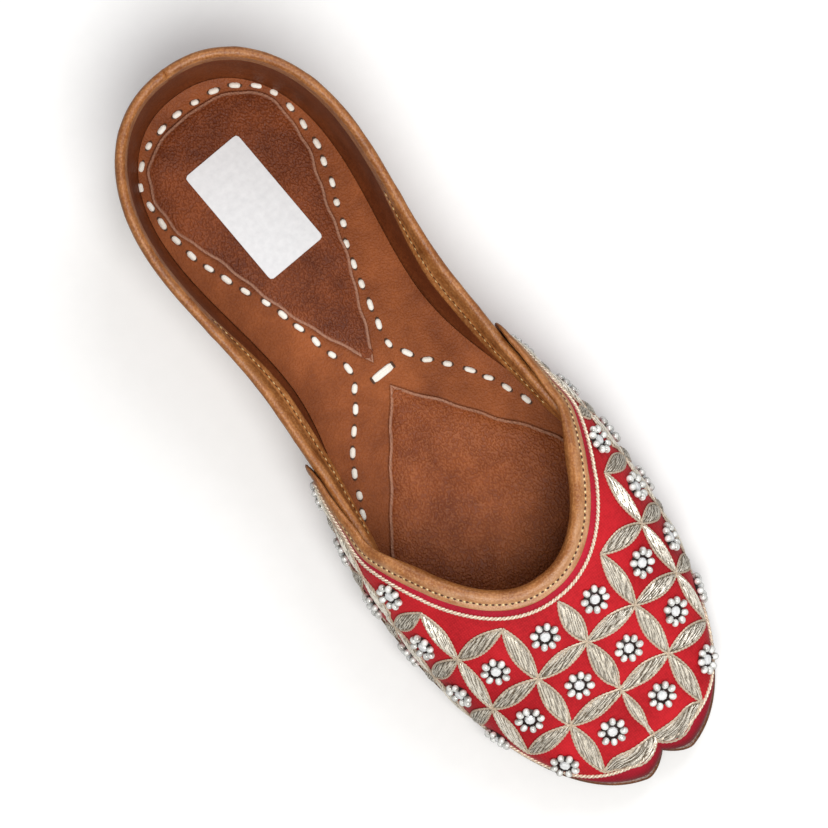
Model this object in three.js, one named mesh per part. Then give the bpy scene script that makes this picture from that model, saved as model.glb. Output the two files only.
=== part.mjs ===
// A mojari: a flat slip-on shoe with a leather sole, a low leather quarter that wraps the heel,
// and a cloth vamp over the forefoot whose ears lap outside the quarter.
//
// Frame: millimetres, +Z up, toe towards -Y, mirror plane x = 0. The sole lies on z = 0.
// A station s is a distance forward along the shoe, so y = frameMiddle - s.
import * as THREE from "three";
import { mergeVertices } from "three/addons/utils/BufferGeometryUtils.js";

// ---- driving dimensions ------------------------------------------------------------------
const frameMiddle = 126.365; // station that lies on y = 0, half way along the whole shoe
const outlineGap = 0.35; // room between two curved pieces that touch

const heelCentre = 44.5; // station of the middle of the heel's round
const ballCentre = 167; // station where the round of the toe begins
const heelReach = 41.2; // from heelCentre back to the upper's feather edge
const toeReach = 84.2; // from ballCentre forward to the tips of the two toe lobes
const heelHalf = 32; // half width of the upper's feather edge at the heel
const waistHalf = 26.6;
const waistStation = 96;
const ballHalf = 41.2;
const heelRoundness = 2.2; // superellipse exponents of the plan at heel and toe
const toeRoundness = 2.26;

const notchDepth = 5.2; // the nick between the two toe lobes
const notchHalf = 8.5;
const notchFade = 7; // how fast the nick dies out up the vamp
const tuck = 1.6; // how far the wall draws in to the feather edge
const tuckHeight = 9;

const soleThickness = 4;
const soleEdgeForefoot = 2.6; // how far the outsole passes the widest line of the upper
const soleEdgeHeel = 0.8;
const springStart = 192; // the sole is flat from the heel to here and then curls up
const springHeight = 3.5;

const upperWall = 1.8;
const vampCloth = 1.4;
const earRoom = 3.0; // how far an ear stands off the quarter beyond the usual gap
const bindingLeather = 1.0;
const collarLeg = 5.0; // width of the collar binding down each side of the edge
const throatLeg = 5.8;
const insoleThickness = 2;
const padThickness = 1.2;

// The upper in rows along the shoe: the height of its crown, how square its cross-section is,
// and how far its wall leans out at the top.
const lastRows = [
  { s: 0, crown: 62, squareness: 9, flare: 2 },
  { s: 60, crown: 58, squareness: 8, flare: 4.8 },
  { s: 100, crown: 55, squareness: 6.5, flare: 7.2 },
  { s: 125, crown: 53, squareness: 3.5, flare: 4.6 },
  { s: 145, crown: 51, squareness: 2.8, flare: 2.8 },
  { s: 184, crown: 45.5, squareness: 2.6, flare: 1 },
  { s: 225, crown: 27, squareness: 2.6, flare: 0.4 },
  { s: 250, crown: 15, squareness: 2.6, flare: 0 },
];

// The two edges of the opening: the quarter's top line, and the top of the vamp's ears.
const edgeRows = [
  { s: -10, collar: 47.5, ear: 36 },
  { s: 20, collar: 47, ear: 36 },
  { s: 60, collar: 41.5, ear: 36 },
  { s: 100, collar: 36.8, ear: 36 },
  { s: 135, collar: 36, ear: 37.5 },
  { s: 150, collar: 36, ear: 40 },
];

// The throat in plan: a rounded U, its arms spreading back to the ears.
const throat = { half: 40.5, back: 112, front: 185.2, bow: 1.5, tip: 0.46 };

const earToThroat = { from: 141, to: 151 }; // where the vamp's edge passes from ear to throat
const liningToThroat = { from: 150, to: 164 }; // where the lining's edge rises to meet it
const standOffFades = { from: 150, to: 170 }; // where the vamp comes back against the lining
const collarEnd = 148; // station where the collar binding ends under the vamp

// The rear edge of an ear: its station at the feather edge and at the top, and its corner.
const earEdge = { foot: 124, top: 114, corner: 7, cornerShare: 0.3 };

// The pads on the insole in plan: half widths along the shoe.
const heelPadRows = [
  { s: 12.3, half: 0 },
  { s: 13.2, half: 10 },
  { s: 15.5, half: 15 },
  { s: 20, half: 21 },
  { s: 30, half: 24 },
  { s: 38, half: 23.8 },
  { s: 51, half: 20 },
  { s: 67, half: 15.5 },
  { s: 82, half: 10.3 },
  { s: 103, half: 1.2 },
  { s: 105, half: 0 },
];
const forefootPadRows = [
  { s: 113, half: 0 },
  { s: 114.5, half: 1.1 },
  { s: 127, half: 10.5 },
  { s: 140, half: 20.3 },
  { s: 151, half: 28.5 },
  { s: 160, half: 32.5 },
  { s: 173, half: 34 },
  { s: 190, half: 32.5 },
  { s: 208, half: 26.5 },
  { s: 222, half: 17.5 },
  { s: 229, half: 9 },
  { s: 231, half: 0 },
];

// How finely the pieces are cut into facets.
const heelSteps = 8;
const waistSteps = 14;
const toeSteps = 13;
const wallRows = 9;

// ---- small helpers -----------------------------------------------------------------------
const halfTurn = Math.PI / 2;
const lerp = THREE.MathUtils.lerp;
const clamp = THREE.MathUtils.clamp;
const smooth = (from, to, value) => THREE.MathUtils.smoothstep(value, from, to);

// Reads one column of a table at station s along a smooth curve that never overshoots a row.
function read(rows, column, s) {
  const last = rows.length - 1;
  const at = clamp(s, rows[0].s, rows[last].s);
  let i = 0;
  while (i < last - 1 && at > rows[i + 1].s) {
    i += 1;
  }
  const slope = (k) => (rows[k + 1][column] - rows[k][column]) / (rows[k + 1].s - rows[k].s);
  const tangent = (k) => {
    if (k === 0 || k === last) {
      return slope(k === 0 ? 0 : last - 1);
    }
    const before = slope(k - 1);
    const after = slope(k);
    return before * after > 0 ? (2 * before * after) / (before + after) : 0;
  };
  const span = rows[i + 1].s - rows[i].s;
  const t = (at - rows[i].s) / span;
  const startPull = (t * t * t - 2 * t * t + t) * span * tangent(i);
  const endPull = (t * t * t - t * t) * span * tangent(i + 1);
  const blend = t * t * (3 - 2 * t);
  return lerp(rows[i][column], rows[i + 1][column], blend) + startPull + endPull;
}

const spring = (s) => springHeight * Math.max(0, (s - springStart) / (248 - springStart)) ** 2;

const ovalReach = (turn, half, reach, power) =>
  (Math.abs(Math.cos(turn) / half) ** power + Math.abs(Math.sin(turn) / reach) ** power) ** (-1 / power);

function halfWidth(s) {
  if (s < waistStation) {
    return lerp(heelHalf, waistHalf, smooth(heelCentre, waistStation, s));
  }
  return lerp(waistHalf, ballHalf, smooth(waistStation, ballCentre, s));
}

const featherHeight = soleThickness + outlineGap; // where upper and vamp meet the sole
const stationOf = (point) => frameMiddle - point.y;

// A spoke runs in plan from the centre line to the feather edge. u counts along the outline:
// 0 to 1 turns round the heel, 1 to 2 runs along the waist, 2 to 3 turns round the toe.
function spokeAt(u) {
  if (u < 1) {
    const turn = halfTurn * (1 - u);
    const reach = ovalReach(turn, heelHalf, heelReach, heelRoundness);
    return { s: heelCentre, across: Math.cos(turn), along: -Math.sin(turn), reach };
  }
  if (u < 2) {
    const s = lerp(heelCentre, ballCentre, u - 1);
    return { s, across: 1, along: 0, reach: halfWidth(s) };
  }
  const turn = halfTurn * (1 - (3 - u) ** 1.6);
  const reach = ovalReach(turn, ballHalf, toeReach, toeRoundness);
  return { s: ballCentre, across: Math.cos(turn), along: Math.sin(turn), reach };
}

// The point on a spoke at a share of its reach, pushed out by some distance in plan.
function planPoint(u, share, push = 0) {
  const spoke = spokeAt(u);
  let reach = spoke.reach * share + push * share;
  if (u > 2) {
    const x = reach * spoke.across;
    reach -= notchDepth * Math.max(0, 1 - x / notchHalf) ** 1.5 * share ** notchFade;
  }
  return { x: spoke.across * reach, s: spoke.s + spoke.along * reach };
}

// The last: the outer face of the upper's wall, at angle up from the feather edge (0) to the
// crown (a quarter turn). The cross-section along each spoke is a superellipse.
function lastPoint(u, angle) {
  const spoke = spokeAt(u);
  const power = read(lastRows, "squareness", spoke.s + spoke.along * spoke.reach * 0.7);
  const scale = (Math.cos(angle) ** power + Math.sin(Math.max(0, angle)) ** power) ** (1 / power);
  const share = Math.cos(angle) / scale;
  const lift = Math.sin(angle) / scale;
  const crown = read(lastRows, "crown", spoke.s + spoke.along * share * spoke.reach);
  const height = (crown - soleThickness) * lift;
  const lean = read(lastRows, "flare", spoke.s + spoke.along * spoke.reach);
  const drawnIn = tuck * Math.max(0, 1 - height / tuckHeight) ** 2;
  const { x, s } = planPoint(u, share, lean * Math.min(1.1, height / 40) - drawnIn);
  const z = featherHeight + height + spring(s);
  return new THREE.Vector3(x, frameMiddle - s, z);
}

// A point at some distance outside (or, below zero, inside) the last's surface.
function wallPoint(u, angle, outward) {
  const point = lastPoint(u, angle);
  const du = 0.004;
  const da = 0.004;
  const alongU = lastPoint(Math.min(3, u + du), angle).sub(lastPoint(Math.max(0, u - du), angle));
  const upwards = lastPoint(u, angle + da).sub(lastPoint(u, Math.max(0, angle - da)));
  const normal = upwards.cross(alongU).normalize();
  if (u === 0 || u === 3) {
    normal.x = 0;
    normal.normalize();
  }
  point.addScaledVector(normal, outward);
  point.z = Math.max(point.z, featherHeight + spring(stationOf(point)));
  return point;
}

// The angle at which a spoke's cross-section first meets a test, found by halving.
function angleWhere(u, test) {
  let low = 0;
  let high = halfTurn;
  for (let i = 0; i < 40; i += 1) {
    const middle = (low + high) / 2;
    if (test(lastPoint(u, middle))) {
      high = middle;
    } else {
      low = middle;
    }
  }
  return (low + high) / 2;
}

const heightOf = (point) => point.z - spring(stationOf(point));

function throatHalf(s) {
  const t = clamp((s - throat.back) / (throat.front - throat.back), 0, 1);
  return throat.half * (1 - t ** throat.bow) ** throat.tip;
}

const inThroat = (point) => point.x < throatHalf(stationOf(point));
const overCollar = (point) => heightOf(point) > read(edgeRows, "collar", stationOf(point));
const overEar = (point) => heightOf(point) > read(edgeRows, "ear", stationOf(point));

const outlineStation = (u) => stationOf(lastPoint(u, 0));

// The angle of the upper's own top edge: the collar, then under the vamp up to the throat.
function liningEdge(u) {
  const blend = smooth(liningToThroat.from, liningToThroat.to, outlineStation(u));
  const collar = blend < 1 ? angleWhere(u, overCollar) : 0;
  const front = blend > 0 ? angleWhere(u, inThroat) : 0;
  return lerp(collar, front, blend);
}

// The angle of the vamp's top edge: the ear, then the throat.
function vampEdge(u) {
  const blend = smooth(earToThroat.from, earToThroat.to, outlineStation(u));
  const ear = blend < 1 ? angleWhere(u, overEar) : 0;
  const front = blend > 0 ? angleWhere(u, inThroat) : 0;
  return lerp(ear, front, blend);
}

// Where on the last one comes to by walking square off an edge, down the wall.
function stepOff(edge, u, distance) {
  const steps = 4;
  const du = 0.01;
  const from = Math.max(0, u - du);
  const to = Math.min(3, u + du);
  const edgeWay = lastPoint(to, edge(to)).sub(lastPoint(from, edge(from))).normalize();
  let atU = u;
  let atAngle = edge(u);
  for (let i = 0; i < steps; i += 1) {
    const low = Math.max(0, atU - 0.004);
    const high = Math.min(3, atU + 0.004);
    const alongU = lastPoint(high, atAngle).sub(lastPoint(low, atAngle)).divideScalar(high - low);
    const upwards = lastPoint(atU, atAngle + 0.004).sub(lastPoint(atU, atAngle - 0.004)).divideScalar(0.008);
    const normal = upwards.clone().cross(alongU).normalize();
    const down = normal.clone().cross(edgeWay).normalize();
    if (down.dot(upwards) > 0) {
      down.negate();
    }
    down.multiplyScalar(distance / steps);
    const uu = alongU.dot(alongU);
    const ua = alongU.dot(upwards);
    const aa = upwards.dot(upwards);
    const determinant = uu * aa - ua * ua;
    atU += (down.dot(alongU) * aa - down.dot(upwards) * ua) / determinant;
    atAngle += (down.dot(upwards) * uu - down.dot(alongU) * ua) / determinant;
    atU = u === 0 || u === 3 ? u : clamp(atU, 0, 3);
  }
  return { u: atU, angle: atAngle };
}

// ---- building closed meshes --------------------------------------------------------------
// The columns of the outline: right side from heel to toe, then left side back to the heel.
function outlineColumns() {
  const right = [];
  for (let i = 0; i < heelSteps; i += 1) {
    right.push(i / heelSteps);
  }
  for (let i = 0; i < waistSteps; i += 1) {
    right.push(1 + i / waistSteps);
  }
  for (let i = 0; i <= toeSteps; i += 1) {
    right.push(2 + i / toeSteps);
  }
  return right;
}

const rightColumns = outlineColumns();
const inner = rightColumns.slice(1, -1);
const allColumns = [
  ...rightColumns.map((u) => ({ u, side: 1 })),
  ...inner.toReversed().map((u) => ({ u, side: -1 })),
];

const mirrored = (point, side) => new THREE.Vector3(point.x * side, point.y, point.z);

// Turns a list of triangles into one closed body: shared corners merged, faces pointing out.
function solid(triangles) {
  const positions = triangles.flatMap((triangle) => triangle.flatMap((point) => point.toArray()));
  const soup = new THREE.BufferGeometry();
  soup.setAttribute("position", new THREE.Float32BufferAttribute(positions, 3));
  const merged = mergeVertices(soup, 1e-4);
  const place = merged.getAttribute("position");
  const index = merged.getIndex();
  const kept = [];
  let volume = 0;
  for (let i = 0; i < index.count; i += 3) {
    const corners = [index.getX(i), index.getX(i + 1), index.getX(i + 2)];
    if (new Set(corners).size === 3) {
      kept.push(corners);
      const [a, b, c] = corners.map((k) => new THREE.Vector3().fromBufferAttribute(place, k));
      volume += a.dot(b.cross(c));
    }
  }
  const faces = volume > 0 ? kept : kept.map(([a, b, c]) => [a, c, b]);
  merged.setIndex(faces.flat());
  merged.computeVertexNormals();
  return merged;
}

// Splits a four-sided facet along its shorter diagonal, so that parallel walls split alike.
function quad(a, b, c, d) {
  if (a.distanceTo(c) < b.distanceTo(d)) {
    return [[a, b, c], [a, c, d]];
  }
  return [[a, b, d], [b, c, d]];
}

// Joins rings of points into a tube. An open tube is closed by pairing its ring's two halves.
function tube(rings, closed) {
  const triangles = [];
  const count = rings[0].length;
  const last = closed ? rings.length : rings.length - 1;
  for (let i = 0; i < last; i += 1) {
    const here = rings[i];
    const next = rings[(i + 1) % rings.length];
    for (let j = 0; j < count; j += 1) {
      const k = (j + 1) % count;
      triangles.push(...quad(here[j], here[k], next[k], next[j]));
    }
  }
  if (!closed) {
    const ends = [rings[0], rings[rings.length - 1].toReversed()];
    for (const ring of ends) {
      for (let j = 0; j < count / 2 - 1; j += 1) {
        triangles.push(...quad(ring[j], ring[count - 1 - j], ring[count - 2 - j], ring[j + 1]));
      }
    }
  }
  return solid(triangles);
}

// A flat piece between the centre line and its outline, lying on a base height.
// edgeAt gives the outline in plan for a column, at the piece's underside or its top.
function slab(columns, centreAt, edgeAt, bottom, top) {
  const shares = [0, 0.35, 0.65, 0.85, 1];
  const triangles = [];
  const pointAt = (column, share, height) => {
    const centre = centreAt(column);
    const edge = edgeAt(column, height);
    const s = lerp(centre, edge.s, share);
    const x = column.side * lerp(0, edge.x, share);
    return new THREE.Vector3(x, frameMiddle - s, height + spring(s));
  };
  for (let i = 0; i < columns.length; i += 1) {
    const here = columns[i];
    const next = columns[(i + 1) % columns.length];
    for (let k = 0; k + 1 < shares.length; k += 1) {
      const [a, b, c, d] = [[here, k], [here, k + 1], [next, k + 1], [next, k]].map(
        ([column, ring]) => pointAt(column, shares[ring], bottom),
      );
      const [e, f, g, h] = [[here, k], [here, k + 1], [next, k + 1], [next, k]].map(
        ([column, ring]) => pointAt(column, shares[ring], top),
      );
      triangles.push(...quad(a, b, c, d), ...quad(e, h, g, f));
    }
    const [a, b] = [pointAt(here, 1, bottom), pointAt(next, 1, bottom)];
    const [c, d] = [pointAt(next, 1, top), pointAt(here, 1, top)];
    triangles.push(...quad(b, a, d, c));
  }
  return solid(triangles);
}

// ---- the pieces --------------------------------------------------------------------------
function outsole() {
  const edgeAt = (column, height) => {
    const spoke = spokeAt(column.u);
    const station = spoke.s + spoke.along * spoke.reach;
    const edge = lerp(soleEdgeHeel, soleEdgeForefoot, smooth(110, 140, station));
    const worn = height > 0 ? 0 : 0.6;
    return planPoint(column.u, 1, edge - worn);
  };
  return slab(allColumns, (column) => spokeAt(column.u).s, edgeAt, 0, soleThickness);
}

// The upper is one hollow wall, open at the top and over the sole.
function upper() {
  const rings = allColumns.map(({ u, side }) => {
    const edge = liningEdge(u);
    const outside = [];
    const inside = [];
    for (let j = 0; j <= wallRows; j += 1) {
      const angle = (edge * j) / wallRows;
      outside.push(mirrored(wallPoint(u, angle, 0), side));
      inside.push(mirrored(wallPoint(u, angle, -upperWall), side));
    }
    return [...outside, ...inside.toReversed()];
  });
  return tube(rings, true);
}

// Walks an ear's rear edge: its station at a share of the way up from the feather edge.
function earEdgeStation(share) {
  const lean = lerp(earEdge.foot, earEdge.top, share);
  const corner = Math.max(0, (share - 1 + earEdge.cornerShare) / earEdge.cornerShare);
  return lean + earEdge.corner * (1 - Math.sqrt(1 - 0.96 * corner * corner));
}

const uAtStation = (s) => 1 + (s - heelCentre) / (ballCentre - heelCentre);

// How far the vamp's inner face stands outside the last.
function vampStandOff(u, share) {
  const free = 1 - smooth(standOffFades.from, standOffFades.to, outlineStation(u));
  return outlineGap + earRoom * free * smooth(0, 0.8, share);
}

const earColumns = 5; // columns between an ear's slanting rear edge and the first straight one
const firstStraight = rightColumns.find((u) => u > uAtStation(130));
const vampBody = rightColumns.filter((u) => u > firstStraight - 1e-9);

// The vamp's columns, from the rear edge of the right ear round the toe to that of the left.
function vampColumns() {
  const ear = Array.from({ length: earColumns }, (_, i) => ({ fromRear: i / earColumns }));
  const right = [...ear, ...vampBody.map((u) => ({ u }))].map((c) => ({ ...c, side: 1 }));
  const left = right.slice(0, -1).toReversed().map((c) => ({ ...c, side: -1 }));
  return [...right, ...left];
}

function vampColumnU(column, share) {
  return column.u ?? lerp(uAtStation(earEdgeStation(share)), firstStraight, column.fromRear);
}

function vamp() {
  const rings = vampColumns().map((column) => {
    const outside = [];
    const inside = [];
    for (let j = 0; j <= wallRows; j += 1) {
      const share = j / wallRows;
      const u = vampColumnU(column, share);
      const angle = vampEdge(u) * share;
      const gap = vampStandOff(u, share);
      outside.push(mirrored(wallPoint(u, angle, gap + vampCloth), column.side));
      inside.push(mirrored(wallPoint(u, angle, gap), column.side));
    }
    return [...outside, ...inside.toReversed()];
  });
  return tube(rings, false);
}

// A strip of leather folded over an edge: a leg down the outside, a cap over the edge, and,
// where innerLeg is more than 0, a leg down the inside. outerAt and innerAt give the faces of
// what it wraps, as distances outside the last.
function foldedStrip(edge, u, side, leg, innerLeg, outerAt, innerAt) {
  const down = (distance) => stepOff(edge, u, distance);
  const rim = down(-outlineGap);
  const cap = down(-outlineGap - bindingLeather);
  const at = (place, outward) => mirrored(wallPoint(place.u, place.angle, outward), side);
  const outer = (place, proud) => at(place, outerAt(place) + outlineGap + proud);
  const inside = (place, proud) => at(place, innerAt(place) - outlineGap - proud);
  const outerLeg = [down(leg), down(leg / 2), rim];
  const skin = [...outerLeg.map((place) => outer(place, bindingLeather)), outer(cap, bindingLeather * 0.5)];
  const core = [...outerLeg.map((place) => outer(place, 0))];
  if (innerLeg > 0) {
    const legIn = [rim, down(innerLeg / 2), down(innerLeg)];
    skin.push(inside(cap, bindingLeather * 0.5), ...legIn.map((place) => inside(place, bindingLeather)));
    core.push(...legIn.map((place) => inside(place, 0)));
    const footIn = inside(legIn[2], bindingLeather / 2);
    const footOut = outer(outerLeg[0], bindingLeather / 2);
    return [...skin, footIn, ...core.toReversed(), footOut];
  }
  skin.push(inside(cap, -outlineGap));
  core.push(inside(rim, -outlineGap));
  return [...skin, ...core.toReversed()];
}

function collarBinding() {
  const right = rightColumns.filter((u) => outlineStation(u) < collarEnd);
  const columns = [
    ...right.toReversed().map((u) => ({ u, side: 1 })),
    ...right.slice(1).map((u) => ({ u, side: -1 })),
  ];
  const outerAt = () => 0;
  const innerAt = () => -upperWall;
  const rings = columns.map(({ u, side }) =>
    foldedStrip(liningEdge, u, side, collarLeg, collarLeg, outerAt, innerAt),
  );
  return tube(rings, false);
}

// Over the throat the strip caps vamp and lining together. Along the ears it caps the vamp's
// cloth alone, because the quarter passes inside them there.
function throatBinding() {
  const columns = vampColumns().map((column) => ({ u: vampColumnU(column, 1), side: column.side }));
  const clothAt = ({ u, angle }) => vampStandOff(u, angle / vampEdge(u));
  const outerAt = (place) => clothAt(place) + vampCloth;
  const innerAt = (place) => {
    const joined = smooth(liningToThroat.from, liningToThroat.to, outlineStation(place.u));
    return lerp(clothAt(place), -upperWall, joined);
  };
  const rings = columns.map(({ u, side }) =>
    foldedStrip(vampEdge, u, side, throatLeg, 0, outerAt, innerAt),
  );
  return tube(rings, false);
}

const insoleBottom = soleThickness + outlineGap;
const insoleTop = insoleBottom + insoleThickness;
const padBottom = insoleTop + outlineGap;
const padTop = padBottom + padThickness;

function insole() {
  const clear = upperWall + outlineGap + tuck;
  const edgeAt = (column) => {
    const leaning = smooth(2, 3, column.u) * 2.2;
    return planPoint(column.u, 1, -clear - leaning);
  };
  return slab(allColumns, (column) => spokeAt(column.u).s, edgeAt, insoleBottom, insoleTop);
}

// A pad is cut from its half widths: its columns run up one side and back down the other.
function pad(rows) {
  const first = rows[0].s;
  const last = rows[rows.length - 1].s;
  const steps = 14;
  const right = Array.from({ length: steps + 1 }, (_, i) => {
    const t = (1 - Math.cos((Math.PI * i) / steps)) / 2;
    return { s: lerp(first, last, t), side: 1 };
  });
  const left = right.slice(1, -1).toReversed().map(({ s }) => ({ s, side: -1 }));
  const edgeAt = (column) => ({ x: read(rows, "half", column.s), s: column.s });
  return slab([...right, ...left], (column) => column.s, edgeAt, padBottom, padTop);
}

// ---- the shoe ----------------------------------------------------------------------------
const leather = (colour, roughness) =>
  new THREE.MeshStandardMaterial({ color: colour, roughness, metalness: 0 });

const pieces = [
  { name: "outsole", geometry: outsole(), material: leather(0x8a5a34, 0.5) },
  { name: "upper", geometry: upper(), material: leather(0x7a4327, 0.65) },
  { name: "vamp", geometry: vamp(), material: leather(0xd4252b, 0.8) },
  { name: "collar_binding", geometry: collarBinding(), material: leather(0xb9793f, 0.5) },
  { name: "throat_binding", geometry: throatBinding(), material: leather(0xb9793f, 0.5) },
  { name: "insole", geometry: insole(), material: leather(0x8b4a2b, 0.6) },
  { name: "heel_pad", geometry: pad(heelPadRows), material: leather(0x94502f, 0.6) },
  { name: "forefoot_pad", geometry: pad(forefootPadRows), material: leather(0x94502f, 0.6) },
];

const group = new THREE.Group();
for (const { name, geometry, material } of pieces) {
  const mesh = new THREE.Mesh(geometry, material);
  mesh.name = name;
  group.add(mesh);
}

export default group;
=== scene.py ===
"""Looks of a red embroidered mojari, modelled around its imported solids.

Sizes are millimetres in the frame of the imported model: +Z up, toe towards -Y, mirror plane
x = 0. A station s is a distance forward along the shoe. Round the shoe, u counts along the
sole's outline: 0 to 1 round the heel, 1 to 2 along the waist, 2 to 3 round the toe. Up the
wall, an angle runs from 0 at the sole to a quarter turn at the crown.
"""

from __future__ import annotations

import logging
import math
from collections.abc import Callable
from dataclasses import dataclass, field
from enum import Enum
from functools import cached_property

import bmesh
import bpy
import numpy as np
from mathutils import Matrix, Vector


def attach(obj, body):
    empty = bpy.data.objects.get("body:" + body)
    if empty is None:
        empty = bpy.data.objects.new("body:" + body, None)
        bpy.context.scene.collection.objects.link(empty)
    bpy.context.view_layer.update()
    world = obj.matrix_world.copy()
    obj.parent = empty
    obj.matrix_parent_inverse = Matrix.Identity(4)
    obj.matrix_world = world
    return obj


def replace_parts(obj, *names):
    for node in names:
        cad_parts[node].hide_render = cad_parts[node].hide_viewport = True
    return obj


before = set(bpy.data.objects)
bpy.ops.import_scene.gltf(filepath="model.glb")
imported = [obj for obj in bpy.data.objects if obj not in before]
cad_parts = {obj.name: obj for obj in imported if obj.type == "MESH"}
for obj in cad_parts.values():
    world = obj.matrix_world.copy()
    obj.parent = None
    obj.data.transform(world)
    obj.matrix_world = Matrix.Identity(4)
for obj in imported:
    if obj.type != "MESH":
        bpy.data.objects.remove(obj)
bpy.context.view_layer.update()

LOG = logging.getLogger("mojari")
# Short names for types that come up often.
Array = np.ndarray
Piece = bpy.types.Object
Tree = bpy.types.NodeTree
Socket = bpy.types.NodeSocket
MM = 0.001  # metres in a millimetre
QUARTER_TURN = math.pi / 2
MIRROR = np.array([-1, 1, 1])  # turns a point of the right side into one of the left
NUDGE = 0.004  # a small step in u or in angle, for slopes
TOE_LIMIT = 2.992  # how near a walk may come to the centre line at the toe, which is u = 3
SEED = 20


# ---- numbers and curves --------------------------------------------------------------------
def smooth(low: float, high: float, value: Array | float) -> Array:
    """Eases from 0 at low to 1 at high.

    Args:
        low: where the ease starts.
        high: where it ends.
        value: what is eased.

    Returns:
        The eased share, 0 to 1.
    """
    t = np.clip((np.asarray(value, float) - low) / (high - low), 0, 1)
    return t * t * (3 - 2 * t)


def read(rows: tuple, column: str, s: Array | float) -> Array:
    """Reads one column of a table along a smooth curve that never overshoots a row.

    Args:
        rows: the table, with a station s in each row.
        column: the name of the column.
        s: the stations to read at.

    Returns:
        The column's value at each station.
    """
    xs = np.array([row.s for row in rows], float)
    ys = np.array([getattr(row, column) for row in rows], float)
    step = np.diff(xs)
    slope = np.diff(ys) / step
    before, after = slope[:-1], slope[1:]
    both = before + after
    rising = before * after > 0
    inner = np.where(rising, 2 * before * after / np.where(both == 0, 1, both), 0)
    pull = np.concatenate([slope[:1], inner, slope[-1:]])
    at = np.clip(np.asarray(s, float), xs[0], xs[-1])
    i = np.clip(np.searchsorted(xs, at) - 1, 0, len(step) - 1)
    t = (at - xs[i]) / step[i]
    blend = t * t * (3 - 2 * t)
    start_pull = (t**3 - 2 * t**2 + t) * step[i] * pull[i]
    end_pull = (t**3 - t**2) * step[i] * pull[i + 1]
    return ys[i] + (ys[i + 1] - ys[i]) * blend + start_pull + end_pull


def unit(vectors: Array) -> Array:
    """Scales vectors to length 1."""
    return vectors / np.maximum(np.linalg.norm(vectors, axis=-1, keepdims=True), 1e-9)


def along(points: Array) -> Array:
    """Gives the distance walked along a line of points, from 0 at its start."""
    steps = np.linalg.norm(np.diff(points, axis=0), axis=1)
    return np.concatenate([[0], np.cumsum(steps)])


def even(points: Array, step: float, closed: bool = False) -> Array:
    """Spaces points evenly along a line.

    Args:
        points: the line's points.
        step: the wanted distance between points.
        closed: whether the line returns to its start.

    Returns:
        The evenly spaced points, without the start's repeat on a closed line.
    """
    line = np.vstack([points, points[:1]]) if closed else points
    walked = along(line)
    count = max(2, int(round(walked[-1] / step)))
    at = np.linspace(0, walked[-1], count + 1)
    spaced = np.stack([np.interp(at, walked, line[:, k]) for k in range(line.shape[1])], -1)
    return spaced[:-1] if closed else spaced


def rounded(points: list[tuple[float, float]], step: float) -> Array:
    """Runs a smooth curve through a short list of plan points.

    Args:
        points: the (x, s) points that the curve passes.
        step: the distance between the curve's points.

    Returns:
        The curve's points, evenly spaced.
    """
    p = np.array(points, float)
    p = np.vstack([2 * p[0] - p[1], p, 2 * p[-1] - p[-2]])
    t = np.linspace(0, 1, 12, endpoint=False)[:, None]
    pieces = []
    for a, b, c, d in zip(p, p[1:], p[2:], p[3:]):
        pieces.append(0.5 * (2 * b + (c - a) * t + (2 * a - 5 * b + 4 * c - d) * t**2
                             + (3 * b - a - 3 * c + d) * t**3))
    return even(np.vstack([*pieces, p[-2:-1]]), step)


def halve(low: Array, high: Array, reached: Callable[[Array], Array]) -> Array:
    """Finds, by halving, where a test is first met between two bounds.

    Args:
        low: bounds at which the test isn't met.
        high: bounds at which it is.
        reached: the test.

    Returns:
        The values at which it is first met.
    """
    for _ in range(30):
        middle = (low + high) / 2
        met = reached(middle)
        low, high = np.where(met, low, middle), np.where(met, middle, high)
    return (low + high) / 2


def mirrored(half: Array) -> Array:
    """Joins a right half that ends on the centre line to its mirror image."""
    return np.concatenate([half, half[..., -2::-1, :] * MIRROR], -2)


# ---- the last ------------------------------------------------------------------------------
@dataclass(frozen=True)
class LastRow:
    """One row of the last: its crown, how square its section is, how far its wall leans out."""

    s: float
    crown: float
    squareness: float
    flare: float


@dataclass(frozen=True)
class EdgeRow:
    """One row of the opening: the height of the quarter's top line and of the vamp's ears."""

    s: float
    collar: float
    ear: float


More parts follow.
